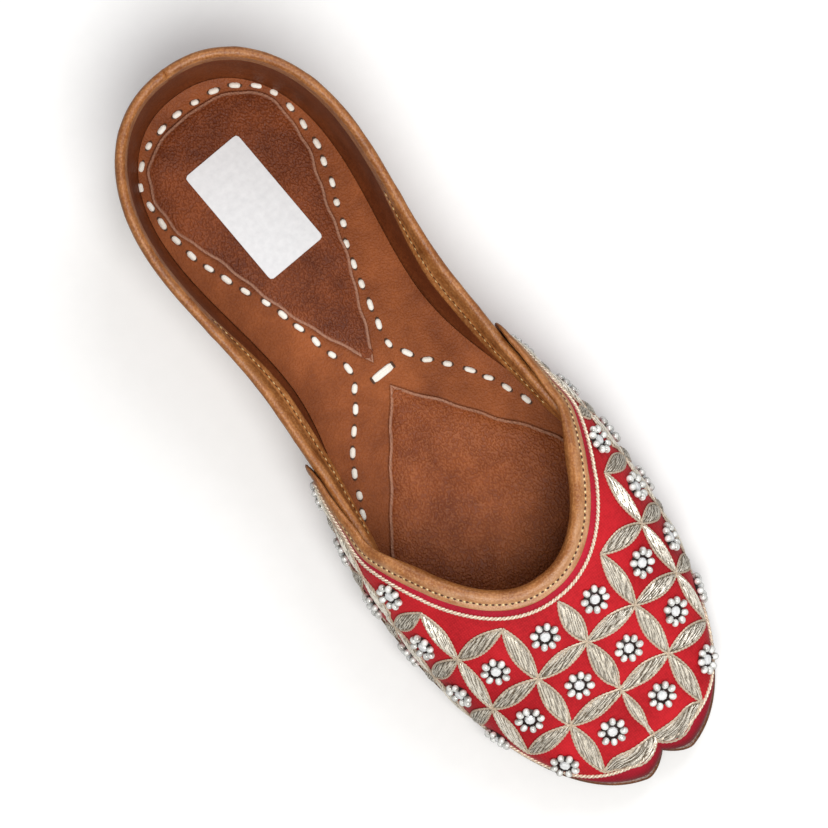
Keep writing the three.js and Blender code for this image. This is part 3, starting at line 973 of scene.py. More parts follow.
@dataclass(frozen=True)
class Thread(Finish):
    """Spun or metallic thread: tint picks its colour, and a fine twist breaks up its gloss."""

    low: str  # where tint is 0
    high: str  # where tint is 1
    metal: float
    rough: float
    twist: float = 0.5  # length of one turn of the ply, in millimetres

    def shade(self, tree: Tree) -> Socket:
        """Builds the finish's nodes and gives its shader."""
        where = add(tree, "TexCoord", get="Object")
        tint = add(tree, "Attribute", {"attribute_name": "tint"}, get="Fac")
        fleck = add(tree, "TexNoise", inputs={"Vector": where, "Scale": per(self.twist), "Detail": 2})
        share = add(tree, "Math", {"operation": "MULTIPLY_ADD"}, {0: fleck, 1: 0.9, 2: -0.45})
        share = add(tree, "Math", {"operation": "ADD", "use_clamp": True}, {0: share, 1: tint})
        colour = add(tree, "Mix", RGBA, {"Factor": share, 6: linear(self.low), 7: linear(self.high)}, 2)
        bump = add(tree, "Bump", inputs={"Strength": 0.5, "Distance": 0.08 * MM, "Height": fleck})
        return add(tree, "BsdfPrincipled",
                   inputs={"Base Color": colour, "Metallic": self.metal, "Roughness": self.rough,
                           "Normal": bump})


@dataclass(frozen=True)
class Glass(Finish):
    """Silver-lined pressed glass: a bright face with a smoky core that shows towards its rim, which on the
    beads is painted shade towards the ends of the hole.
    """

    face: str
    core: str
    metal: float
    rough: float

    def shade(self, tree: Tree) -> Socket:
        """Builds the finish's nodes and gives its shader."""
        where = add(tree, "TexCoord", get="Object")
        tint = add(tree, "Attribute", {"attribute_name": "tint"}, get="Fac")
        cloud = add(tree, "TexNoise", inputs={"Vector": where, "Scale": per(1.0), "Detail": 1})
        share = add(tree, "Math", {"operation": "MULTIPLY_ADD"}, {0: cloud, 1: 0.8, 2: -0.4})
        share = add(tree, "Math", {"operation": "ADD", "use_clamp": True}, {0: share, 1: tint})
        colour = add(tree, "Mix", RGBA, {"Factor": share, 6: linear(self.core), 7: linear(self.face)}, 2)
        return add(tree, "BsdfPrincipled",
                   inputs={"Base Color": colour, "Metallic": self.metal, "Roughness": self.rough, "IOR": 1.52,
                           "Coat Weight": 1.0, "Coat Roughness": 0.03})


@dataclass(frozen=True)
class Paper(Finish):
    """Satin label paper: white and smooth, with a faint fibre."""

    face: str
    fibre: str = "#D9DADD"

    def shade(self, tree: Tree) -> Socket:
        """Builds the finish's nodes and gives its shader."""
        where = add(tree, "TexCoord", get="Object")
        speck = add(tree, "TexNoise", inputs={"Vector": where, "Scale": per(2.0), "Detail": 5})
        colour = add(tree, "Mix", RGBA, {"Factor": speck, 6: linear(self.fibre), 7: linear(self.face)}, 2)
        bump = add(tree, "Bump", inputs={"Strength": 0.3, "Distance": 0.04 * MM, "Height": speck})
        return add(tree, "BsdfPrincipled",
                   inputs={"Base Color": colour, "Roughness": 0.45, "Normal": bump, "IOR": 1.45})


# Burnished sole leather: rubbed with wax at its edge, so it shines a little.
SOLE = Leather("sole_leather_burnished", "#4A2610", "#7A461F", "#A06A3A", 0.9, 0.08, 0.25, 0.34, coat=0.3)
# Lining leather: matt and smooth, drinking in the light inside the shoe.
LINING = Leather("lining_leather_matt", "#632F14", "#884722", "#9C5A32", 0.8, 0.06, 0.35, 0.58, shine=0.3)
# Quarter leather: plain tan hide, lightly waxed.
QUARTER = Leather("quarter_leather_waxed", "#86491F", "#A9672F", "#C48A50", 0.8, 0.05, 0.25, 0.46)
# Binding leather: thin skived tan hide, pulled tight over the edge, so its grain is nearly gone.
BINDING = Leather("binding_leather_skived", "#8C4E1E", "#B87840", "#D2965C", 0.7, 0.06, 0.4, 0.42, coat=0.1,
                  cloud=6, cut="#D9AC84")
# Insole leather: smooth-faced hide, rubbed by hand.
INSOLE = Leather("insole_leather_smooth", "#783A15", "#A1572A", "#AE683A", 0.6, 0.08, 0.2, 0.48, shine=0.2)
# Pad leather: drum-tumbled hide. Its pebbles are drawn a little coarser than life, so that they show.
PAD = Leather("pad_leather_tumbled", "#713210", "#A2562A", "#B06C3C", 0.62, 0.15, 0.36, 0.4,
              (1, 0.8, 1), cut="#C79A82", shine=0.24)
# The same hide, darker: painted shade for the heel pad, which the quarter's wall shades.
SHADED_PAD = Leather("pad_leather_shaded", "#5C270D", "#8C4620", "#9E5A32", 0.62, 0.15, 0.36, 0.42,
                  (1, 0.8, 1), cut="#C79A82", shine=0.22)
# Red vamp cloth. The real weave is half as wide, too fine to show, so it is drawn coarser.
CLOTH = Cloth("vamp_cloth_red", "#CC202A", "#A3111B", 0.7)
# Red edging tape: the same cloth, cut on the bias and pressed smooth.
TAPE = Cloth("edging_tape_red", "#C81F38", "#A2142A", 0.7)
# Silver-gilt satin thread. Its tint darkens at random, as on older, tarnished lengths, and as painted sheen
# on petals that run across.
SATIN = Thread("satin_thread_silver_gilt", "#5C4A32", "#FFF8EA", 0.35, 0.3)
# Twisted gilt cord, paler than the satin it frames.
CORD = Thread("twisted_cord_gilt", "#8A6A4A", "#FBEBD4", 0.3, 0.38)
# Waxed cream cotton, in thick hand stitches.
CREAM = Thread("waxed_cotton_cream", "#E4D8C6", "#FFFBF2", 0.0, 0.5)
# Yellow-gold machine thread of the bindings.
GOLD = Thread("machine_thread_gold", "#B08A4A", "#F0D9A4", 0.1, 0.4)
# Painted shade of a needle hole: a dark patch where the hole sinks into the leather.
HOLE_SHADE = Thread("needle_hole_shade", "#3A1E0C", "#5A3416", 0.0, 0.7)
# Blackened thread and metal under the beads.
BLACK = Thread("setting_blackened", "#1A0F0E", "#4A3430", 0.3, 0.45)
# Silver-lined glass seed beads, whose smoky grey is painted shade towards the ends of the hole.
BEAD = Glass("seed_bead_silver_lined", "#FFFFFB", "#6A6458", 0.12, 0.12)
# Cut glass stones with a foiled back.
STONE = Glass("cut_glass_foiled", "#FFFFFF", "#BCC4C8", 0.12, 0.05)
# Satin paper of the label: whiter and smoother than the hide under it.
LABEL = Paper("label_satin_paper", "#F3F4F6")


# ---- pieces of leather ---------------------------------------------------------------------
@dataclass
class Outsole:
    """The thick leather sole, cut round the last with the toe's nick, its edge rubbed round."""

    last: Last
    thickness: float = 4.0
    edge_forefoot: float = 2.6
    edge_heel: float = 0.8
    widens: tuple = (110, 140)  # stations between which the edge widens
    profile: tuple = ((-1.6, 4.0), (-0.9, 3.95), (-0.35, 3.7), (-0.05, 3.2), (0, 2.4), (-0.15, 1.4),
                      (-0.5, 0.5), (-0.9, 0.1), (-1.4, 0.0))

    def build(self) -> Piece:
        """Makes the sole."""
        u, side = self.last.columns(70, 90, 150)
        s, _, forward, reach = self.last.spoke(u)
        wide = smooth(*self.widens, s + forward * reach)
        edge = self.edge_heel + (self.edge_forefoot - self.edge_heel) * wide
        x, station = self.last.plan(u, 1, edge)
        shape = Shape()
        shape.slab(self.last, np.stack([x * side, station], -1), s, self.profile)
        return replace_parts(shape.build("outsole_leather", [SOLE], "sole_leather"), "outsole")


@dataclass
class Upper:
    """One hollow wall: the quarter's hide outside, the lining's hide inside."""

    last: Last
    rows: int = 30
    rim_rise: float = 0.003  # how much further up, as an angle, the middle of the rim lies

    def build(self) -> Piece:
        """Makes the wall, with its rim under the bindings."""
        last = self.last
        u, side = last.columns(70, 90, 110)
        share = np.linspace(0, 1, self.rows)[:, None]
        angle = share * last.lining_edge(u)
        outer = last.wall(u[None], angle, 0.0, side)
        inner = last.wall(u[None], angle, -last.upper_wall, side)
        rim = last.wall(u, last.lining_edge(u) + self.rim_rise, -last.upper_wall / 2, side)[None]
        shape = Shape()
        shape.grid(np.concatenate([outer, rim]), round_columns=True, slot=0)
        shape.grid(np.concatenate([rim, inner[::-1], outer[:1]]), round_columns=True, slot=1)
        piece = shape.build("quarter_and_lining", [QUARTER, LINING], "lining_leather")
        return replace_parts(piece, "upper")


@dataclass
class Vamp:
    """The red cloth over the forefoot, with ears that lap outside the quarter."""

    last: Last
    rows: int = 36
    ear_foot: float = 126
    ear_top: float = 116.5
    ear_corner: float = 7
    corner_share: float = 0.3
    first_straight: float = 131.5
    foot_start: float = 0.006  # the angle of the cloth's foot, just above the sole
    cord_height: float = 3.6  # of the foot's cord above the feather edge
    cord_lift: float = 2.6  # how much higher it runs over the toe
    tape_profile: tuple = ((0.0, 0.1), (0.02, 0.4), (0.12, 0.7), (0.35, 0.8), (0.65, 0.66), (0.93, 0.34),
                           (1, 0.02))  # pairs of a share of the way up and a height over the cloth

    def ear_edge(self, share: Array) -> Array:
        """Gives the station of the ear's rear edge, which is straight up to its round corner.

        Args:
            share: shares of the way up.

        Returns:
            The station at each.
        """
        corner = np.maximum(0, (share - 1 + self.corner_share) / self.corner_share)
        lean = self.ear_foot + (self.ear_top - self.ear_foot) * share
        return lean + self.ear_corner * (1 - np.sqrt(1 - 0.96 * corner**2))

    def at_station(self, s: Array | float) -> Array:
        """Gives the u of a station of the waist."""
        return 1 + (s - self.last.heel_centre) / (self.last.ball_centre - self.last.heel_centre)

    def columns(self, share: Array) -> tuple[Array, Array]:
        """Gives the u of each column at shares of the way up, from right ear to left ear.

        Args:
            share: the shares, one for each row.

        Returns:
            The u by row and column, and the side of each column.
        """
        first = float(self.at_station(self.first_straight))
        rear = self.at_station(self.ear_edge(share))[:, None]
        ear = rear + (first - rear) * (np.arange(14) / 14)[None]
        straight = np.concatenate([np.linspace(first, 2, 26)[:-1], np.linspace(2, 3, 110)])
        right = np.hstack([ear, np.repeat(straight[None], len(share), 0)])
        u = np.hstack([right, right[:, -2::-1]])
        side = np.where(np.arange(u.shape[1]) < right.shape[1], 1.0, -1.0)
        return u, side

    def build(self) -> list[Piece]:
        """Makes the cloth and the tape along its lower edge."""
        last = self.last
        share = np.linspace(0, 1, self.rows)
        u, side = self.columns(share)
        angle = last.vamp_edge(u) * share[:, None]
        outer = last.wall(u, angle, last.face(u, angle), side)
        inner = last.wall(u, angle, last.stand_off(u, angle), side)
        shape = Shape()
        # Painted shade: the cloth's lowest rows, where it turns under at the sole, get a tint below one half,
        # which darkens them.
        dark = 0.5 - 0.35 * (1 - smooth(0, 0.05, share))
        shape.grid(outer, tint=np.repeat(dark[:, None], u.shape[1], 1))
        shape.grid(inner[::-1], slot=1)
        for edge in ((outer[-1], inner[-1]), (inner[0], outer[0]), (inner[:, 0], outer[:, 0]),
                     (outer[:, -1], inner[:, -1])):
            shape.grid(np.stack(edge))
        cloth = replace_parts(shape.build("vamp_cloth", [CLOTH, LINING], "vamp_cloth"), "vamp")
        return [cloth, self.tape()]

    def ear_path(self, low: float = 0.0) -> tuple[Array, Array]:
        """Gives the line up the right ear's rear edge and along the top edge to the toe's centre.

        Args:
            low: the share of the rear edge's height at which it starts.

        Returns:
            The line's u and angle.
        """
        last = self.last
        share = np.concatenate([np.linspace(low, 0.72, 14)[:-1], np.linspace(0.72, 1, 22)])
        rear = self.at_station(self.ear_edge(share))
        top = np.concatenate([np.linspace(rear[-1], 2, 90)[1:-1], np.linspace(2, 3, 170)])
        u = np.concatenate([rear, top])
        angle = np.concatenate([last.vamp_edge(rear) * share, last.vamp_edge(top)])
        rows = even(np.stack([last.point(u, angle)[:, k] for k in range(3)] + [u, angle], -1), 0.8)
        middle = rows[:, 3:]
        for _ in range(3):
            middle[1:-1] = (middle[:-2] + 2 * middle[1:-1] + middle[2:]) / 4
        middle[-1, 0] = 3.0
        return middle[:, 0], middle[:, 1]

    def foot_rise(self, u: Array) -> Array:
        """Gives how far the foot's cord lies above the feather edge: higher over the toe."""
        return self.cord_height + self.cord_lift * smooth(2.45, 2.85, u)

    def tape(self) -> Piece:
        """Makes the plain strip between the lower cord and the sole, rolled under at its foot."""
        last = self.last
        u, side = self.columns(np.zeros(1))
        right = u[0, side > 0]
        foot = np.full_like(right, self.foot_start)
        rows, tints = [], []
        for share, proud in self.tape_profile:
            place, angle = last.step_off(right, foot, -share * (self.foot_rise(right) - 0.3))
            rows.append(mirrored(last.wall(place, angle, last.face(place, angle) + proud)))
            # Painted shade: the tint falls from a third at the top to nothing at the foot, darkening the tape
            # towards the sole.
            tints.append(np.full(len(rows[-1]), 0.34 * smooth(0.0, 0.9, share)))
        shape = Shape()
        shape.grid(np.array(rows), tint=np.array(tints))
        return shape.build("toe_edging_tape", [TAPE], "vamp_cloth")


@dataclass
class Binding:
    """A strip of thin leather folded over an edge and sewn through.

    Its cross-section is a list of (distance down from the edge, height above what it wraps).
    """

    last: Last
    name: str
    replaces: str
    u: Array  # the right half of the edge, running forward
    angle: Array
    centre_first: bool  # whether the right half starts on the centre line
    outer: Callable[[Array, Array], Array]  # the outer face that it wraps, outside the last
    inner: Callable[[Array, Array], Array]  # the inner face
    outer_leg: tuple
    inner_leg: tuple
    rise: float  # how far the rolled edge stands above the edge it wraps
    leg_share: Array | float = 1.0  # how much of the outer leg is left at each place
    flap: Array | float = 0.0  # how far the foot of the inner leg stands away
    waver: float = 0.1
    thin: Array | float = 1.0  # how full the outer leg is at each place
    roll_rows: int = 11
    core: tuple = (0.4, 0.1)  # depth and height of the fold's hollow, which the edge fills

    def at(self, down: float, proud: Array | float, inside: bool = False) -> Array:
        """Gives points a distance down from the edge and proud of the wrapped face.

        Args:
            down: the distance down.
            proud: the height above the face.
            inside: whether it is the inner face.

        Returns:
            The points of the right half, one row each.
        """
        share = 1.0 if inside else self.leg_share
        place, angle = self.last.step_off(self.u, self.angle, down * share)
        if inside:
            hang = self.flap * (down / self.inner_leg[-1][0]) ** 1.3
            return self.last.wall(place, angle, self.inner(place, angle) - proud - hang)
        return self.last.wall(place, angle, self.outer(place, angle) + proud * self.thin)

    def roll(self) -> list[Array]:
        """Gives the rows of the rolled edge, from the outer leg over to the inner one."""
        rows = []
        (start, out_proud), (_, in_proud) = self.outer_leg[-1], self.inner_leg[0]
        rng = np.random.default_rng(SEED)
        knots = rng.uniform(-1, 1, 51)
        ripple = np.interp(np.linspace(0, 50, len(self.u)), np.arange(51), knots) * self.waver
        ripple = ripple * smooth(0, 0.1, self.u) * smooth(0, 0.1, 3 - self.u)
        place, angle = self.last.step_off(self.u, self.angle, 0.0)
        outer = self.outer(place, angle) + out_proud * self.thin
        inner = self.inner(place, angle) - in_proud
        middle, half = (outer + inner) / 2, (outer - inner) / 2
        for turn in np.linspace(0, math.pi, self.roll_rows + 2)[1:-1]:
            down = start - (start + self.rise) * math.sin(turn) ** 0.8
            place, angle = self.last.step_off(self.u, self.angle, down)
            reach = np.sign(math.cos(turn)) * abs(math.cos(turn)) ** 0.9
            rows.append(self.last.wall(place, angle, middle + (half + ripple) * reach))
        return rows

    def whole(self, right: Array) -> Array:
        """Joins the right half to its mirror image."""
        return mirrored(right[..., ::-1, :]) if self.centre_first else mirrored(right)

    def build(self) -> Piece:
        """Makes the strip."""
        rows = [self.at(down, proud) for down, proud in self.outer_leg]
        rows += self.roll()
        rows += [self.at(down, proud, True) for down, proud in self.inner_leg]
        deep, room = self.core
        rows += [self.at(self.inner_leg[-1][0], room, True), self.at(deep, room, True)]
        rows += [self.at(deep, room), self.at(self.outer_leg[0][0], room)]
        points = self.whole(np.array(rows))
        # The outer leg is rubbed pale, the roll darkens over its top and the inner leg's cut edge is palest.
        legs = len(self.outer_leg)
        number = np.full(len(rows), 0.5)
        number[:legs] = 0.74
        number[0] = 0.6
        number[legs : legs + 3] = (0.66, 0.58, 0.52)
        number[legs + self.roll_rows + len(self.inner_leg) - 1] = 0.95
        rng = np.random.default_rng(SEED + 5)
        knots = np.linspace(0, 1, max(4, points.shape[1] // 6))
        at = np.linspace(0, 1, points.shape[1])
        streaks = np.array([np.interp(at, knots, rng.uniform(-0.17, 0.1, len(knots))) for _ in number])
        shape = Shape()
        shape.grid(points, round_rows=True, tint=number[:, None] + streaks)
        shape.lid(points[::-1, 0])
        shape.lid(points[:, -1])
        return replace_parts(shape.build(self.name, [BINDING], "binding_leather"), self.replaces)

    def stitches(self, name: str, down: float, proud: float, inside: bool, pitch: float,
                 first: float, last: float, size: float = 0.6) -> Piece:
        """Makes the row of machine stitches: a patch of painted shade for each needle hole, then a short
        length of thread.

        Args:
            name: the piece's name.
            down: the distance down from the edge.
            proud: the height above the wrapped face.
            inside: whether they are on the inner leg.
            pitch: the length of a stitch.
            first: the lowest station that is sewn.
            last: the highest.
            size: the half width of a hole.

        Returns:
            The new object.
        """
        # Two rows beside the line give the ways down and out at each of its points.
        line, below = self.at(down, proud, inside), self.at(down + 0.4, proud, inside)
        lifted = self.at(down, proud + 0.5, inside)
        station = self.last.station(line)
        keep = (station > first) & (station < last)
        parts = np.concatenate([line, below, lifted], -1)[keep].reshape(-1, 3, 3)
        left = parts * MIRROR
        if not self.centre_first:
            rows = [np.concatenate([parts, left[-2::-1]])]
        elif keep[0]:  # the row runs on round the heel
            rows = [np.concatenate([parts[::-1], left[1:]])]
        else:
            rows = [parts, left]
        steps = 10  # points in one stitch: a hole on the first six, the thread on the last five
        rng = np.random.default_rng(SEED + 1)
        shape = Shape()
        for row in rows:
            row = even(row.reshape(-1, 9), pitch / steps)
            points, aside, out = row[:, :3], unit(row[:, 3:6] - row[:, :3]), unit(row[:, 6:] - row[:, :3])
            for start in range(2, len(points) - steps - 1, steps):
                jitter = aside[start] * rng.uniform(-0.12, 0.12)
                # The hole is a flat patch of painted shade.
                hole = points[start : start + 6] + jitter - out[start : start + 6] * 0.08
                bulge = np.sin(np.linspace(0.25, math.pi - 0.25, 6)) ** 0.5
                shape.tube(hole, size * bulge, 6, flat=0.38, up=out[start], slot=0)
                thread = points[start + 5 : start + 10] + jitter + out[start] * 0.08
                bulge = np.sin(np.linspace(0.3, math.pi - 0.3, 5))
                shape.tube(thread, 0.6 * size * bulge, 6, flat=0.7, up=out[start],
                           tint=rng.uniform(0.5, 1.0), slot=1)
        return shape.build(name, [HOLE_SHADE, GOLD], "binding_leather")


def collar_binding(last: Last) -> list[Piece]:
    """Makes the tan piping over the quarter's top edge, with its stitches.

    Args:
        last: the last.

    Returns:
        The pieces made.
    """
    u = np.concatenate([np.linspace(0, 1, 90)[:-1], np.linspace(1, 1.99, 130)])
    u = u[last.outline_station(u) < 158]
    station = last.outline_station(u)
    strip = Binding(
        last, "collar_binding_leather", "collar_binding", u, last.lining_edge(u), True,
        lambda u, angle: np.zeros_like(angle), lambda u, angle: np.full_like(angle, -last.upper_wall),
        outer_leg=((5.0, 0.3), (4.7, 0.6), (4.2, 0.7), (3.4, 0.6), (2.9, 0.5), (2.3, 0.65), (1.5, 0.8)),
        inner_leg=((1.5, 0.7), (2.0, 0.45), (2.4, 0.5), (2.9, 0.6), (3.4, 0.62), (4.2, 0.75), (4.75, 0.75),
                   (5.0, 0.5)),
        rise=1.25, flap=0.2 + 2.6 * smooth(60, 100, station) - 1.2 * smooth(146, 158, station))
    return [strip.build(),
            strip.stitches("collar_stitches_outside", 2.95, 0.55, False, 3.6, -9, 140, 0.45),
            strip.stitches("collar_stitches_inside", 3.1, 0.62, True, 3.9, 66, 146, 0.42)]


def throat_binding(last: Last, vamp: Vamp) -> list[Piece]:
    """Makes the tan piping over the vamp's top edge, with its stitches and the red tape below.

    Args:
        last: the last.
        vamp: the vamp, for its top edge.

    Returns:
        The pieces made.
    """
    u, angle = vamp.ear_path(0.12)
    station = last.station(last.point(u, angle))

    def inner(u: Array, angle: Array) -> Array:
        """Gives the inner face of what the strip wraps: the cloth, then cloth and lining."""
        joined = smooth(*last.lining_join, last.outline_station(u))
        return last.stand_off(u, angle) * (1 - joined) - last.upper_wall * joined

    strip = Binding(
        last, "throat_binding_leather", "throat_binding", u, angle, False, last.face, inner,
        outer_leg=((4.3, 0.25), (4.15, 0.6), (3.7, 0.72), (3.1, 0.7), (2.75, 0.62), (2.4, 0.5), (2.0, 0.7),
                   (1.3, 1.05)),
        inner_leg=((1.0, 0.2), (1.3, -0.15)), rise=1.3, leg_share=0.62 + 0.38 * smooth(122, 150, station),
        thin=0.5 + 0.5 * smooth(*last.skived, station))
    tape = Shape()
    start = int(np.argmax(station > 124.5))
    rows = [strip.at(down, proud) for down, proud in ((4.0, 0.1), (4.2, 0.3), (5.7, 0.3), (6.1, 0.02))]
    tape.grid(strip.whole(np.array(rows)[::-1, start:]), tint=0.45)
    return [strip.build(),
            strip.stitches("throat_stitches", 2.45, 0.52, False, 3.3, 119, 200),
            tape.build("throat_edging_tape", [TAPE], "vamp_cloth")]


# ---- inside the shoe -----------------------------------------------------------------------
@dataclass
class Insole:
    """The leather sock on the sole, its rim turned up a little against the lining."""

    last: Last
    clear: float = 2.75
    toe_clear: float = 2.2
    profile: tuple = ((-4.2, 6.35), (-3.0, 6.4), (-1.8, 6.55), (-0.7, 6.8), (-0.1, 6.95), (0, 6.8),
                      (-0.3, 6), (-0.8, 4.7), (-1.1, 4.36))

    def build(self) -> Piece:
        """Makes the sock."""
        u, side = self.last.columns(60, 70, 90)
        x, station = self.last.plan(u, 1, -self.clear - smooth(2, 3, u) * self.toe_clear)
        shape = Shape()
        shape.slab(self.last, np.stack([x * side, station], -1), self.last.spoke(u)[0], self.profile)
        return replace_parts(shape.build("insole_leather_sock", [INSOLE], "insole_leather"), "insole")


@dataclass
class HandStitches:
    """Thick cream stitches that run round the heel pad and forward along the sock."""

    last: Last
    height: float = 6.55
    length: float = 3.0
    pitch: float = 6.4
    width: float = 1.68
    fineness: int = 16  # points of the path in one pitch
    half_path: tuple = ((0, 10.7), (11.6, 11.9), (16.4, 14), (22, 18.3), (24.9, 23.6), (25.8, 30), (25.3, 42),
                        (23.8, 49.3), (21, 57), (17.5, 66), (14.5, 73), (11, 86), (9.3, 92), (6.8, 103.5),
                        (9.8, 108), (12.4, 112.5), (16.4, 117), (20.6, 122), (24.4, 128), (27, 133),
                        (29.3, 139), (30.7, 142.5))
    bar: tuple = ((-3.4, 109), (4.2, 108.7))  # ends of the bar across the waist
    bar_pitch: float = 0.55

    def stitch(self, shape: Shape, start: Array, end: Array, width: float, tint: float) -> None:
        """Adds one stitch, drawn down at both ends.

        Args:
            shape: where it goes.
            start: its start, as (x, s).
            end: its end.
            width: its width.
            tint: its shade.
        """
        t = np.linspace(0, 1, 9)[:, None]
        plan = start + (end - start) * t
        fat = np.clip(1 - np.abs(2 * t[:, 0] - 1) ** 4.5, 0.05, 1) ** 0.5
        z = self.height + self.last.spring(plan[:, 1]) + 0.28 * fat - 0.16
        centres = np.stack([plan[:, 0], self.last.frame_middle - plan[:, 1], z], -1)
        shape.tube(centres, width / 2 * fat, 8, flat=0.55, tint=tint)
        way = unit(centres[-1] - centres[0])
        # A patch of painted shade marks the needle hole at each end.
        for tip, sign in ((centres[0], -1), (centres[-1], 1)):
            hole = tip + way * sign * np.array([-0.3, 0.0, 0.3, 0.5])[:, None] + [0, 0, 0.13]
            shape.tube(hole, np.array([0.5, 0.62, 0.5, 0.15]), 6, flat=0.2, slot=1)

    def build(self) -> Piece:
        """Makes all the stitches and the short bar across the waist."""
        left = [(-x, s) for x, s in self.half_path[:0:-1]]
        path = rounded(left + list(self.half_path), self.pitch / self.fineness)
        rng = np.random.default_rng(SEED + 2)
        shape = Shape()
        reach = int(round(self.length / self.pitch * self.fineness))
        for start in range(4, len(path) - reach, self.fineness):
            wander = rng.uniform(-0.35, 0.35, 2)
            end = start + reach + int(rng.integers(-1, 2))
            self.stitch(shape, path[start] + wander, path[min(end, len(path) - 1)] + wander[::-1],
                        self.width * rng.uniform(0.88, 1.08), rng.uniform(0.55, 1))
        start, end = np.array(self.bar)
        for k in (-1, 0, 1):
            offset = [0, k * self.bar_pitch]
            self.stitch(shape, start + offset, end + offset, 1.2, 0.8)
        return shape.build("hand_stitches_cream", [CREAM, HOLE_SHADE], "insole_leather")


@dataclass(frozen=True)
class PadRow:
    """One row of a pad's outline."""

    s: float
    half: float


@dataclass
class Pad:
    """A thin stuffed pad under a piece of tumbled leather, glued down at its cut edge."""

    last: Last
    name: str
    replaces: str
    outline: tuple
    profile: tuple = ((-3.4, 7.86), (-2.2, 7.8), (-1.2, 7.62), (-0.6, 7.4), (-0.25, 7.24), (-0.02, 7.16),
                      (0, 7.0), (0, 6.8), (-0.3, 6.74))
    finish: Leather = PAD
    rough: float = 0.10
    waver: float = 0.55  # how far the hand's cut strays
    end_room: float = 6  # how far from its two ends the pad is drawn together to a point

    def build(self) -> Piece:
        """Makes the pad."""
        t = (1 - np.cos(np.linspace(0, math.pi, 70))) / 2
        first, final = self.outline[0].s, self.outline[-1].s
        s = first + (final - first) * t
        half = read(self.outline, "half", s)
        # The cut strays in waves 15 to 35 mm long, which differ from side to side.
        ends = np.minimum(1, half / self.end_room)
        right = np.stack([half + ends * self.waver * np.sin(s * 0.43 + 1) * np.sin(s * 0.19), s], -1)
        left = np.stack([-half + ends * self.waver * np.sin(s * 0.37) * np.sin(s * 0.23 + 2), s], -1)
        edge = even(np.vstack([right, left[-2:0:-1]]), 1.6, closed=True)
        shape = Shape()
        centre = np.clip(edge[:, 1], first + self.end_room, final - self.end_room)
        rim = np.full(len(self.profile), 0.5)
        rim[3:5] = 0.8  # the worn bend above the cut edge
        shape.slab(self.last, edge, centre, self.profile, rim, self.rough)
        piece = shape.build(self.name, [self.finish], "pad_leather")
        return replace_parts(piece, self.replaces)


HEEL_PAD = tuple(PadRow(s, half) for s, half in (
    (12.3, 0), (13.2, 10), (15.5, 15), (20, 21), (30, 24), (38, 23.8), (51, 20), (67, 15.5), (82, 10.3),
    (103, 1.2), (105, 0)))
FOREFOOT_PAD = tuple(PadRow(s, half) for s, half in (
    (113, 0), (114.5, 1.1), (127, 10.5), (140, 20.3), (151, 28.5), (160, 32.5), (173, 34), (190, 32.5),
    (208, 26.5), (222, 17.5), (229, 9), (231, 0)))


@dataclass
class SizeLabel:
    """The blank satin label stuck on the heel pad."""

    last: Last
    width: float = 20.3
    length: float = 40
    thickness: float = 0.22
    middle: tuple = (-0.9, 46.6)
    turned: float = -3.4
    corner: float = 1.1
    lies_at: float = 7.93  # height of the pad's top under it

    def build(self) -> Piece:
        """Makes the label."""
        a, b, r = self.width / 2, self.length / 2, self.corner
        turn = np.radians(np.arange(0, 91, 22.5))
        corners = [(a - r, b - r, 0), (r - a, b - r, 90), (r - a, r - b, 180), (a - r, r - b, 270)]
        ring = np.array([(x + r * math.cos(t + math.radians(d)), y + r * math.sin(t + math.radians(d)))
                         for x, y, d in corners for t in turn])
        ring = even(ring, 1.0, closed=True)
        tilt = math.radians(self.turned)
        spin = np.array([[math.cos(tilt), -math.sin(tilt)], [math.sin(tilt), math.cos(tilt)]])
        edge = ring @ spin.T + self.middle
        low, top = self.lies_at, self.lies_at + self.thickness
        profile = ((-0.5, top), (-0.06, top), (0, low + 0.1), (-0.1, low - 0.1))
        shape = Shape()
        centre = np.clip(edge[:, 1], self.middle[1] - b + 3, self.middle[1] + b - 3)
        shape.slab(self.last, edge, centre, profile, middle_x=self.middle[0])
        return shape.build("size_label_blank", [LABEL], "insole_leather")


# ---- embroidery ----------------------------------------------------------------------------
class Run(Enum):
    """The way a petal points: forward along the shoe, or across it."""

    FORWARD = "forward"
    ACROSS = "across"


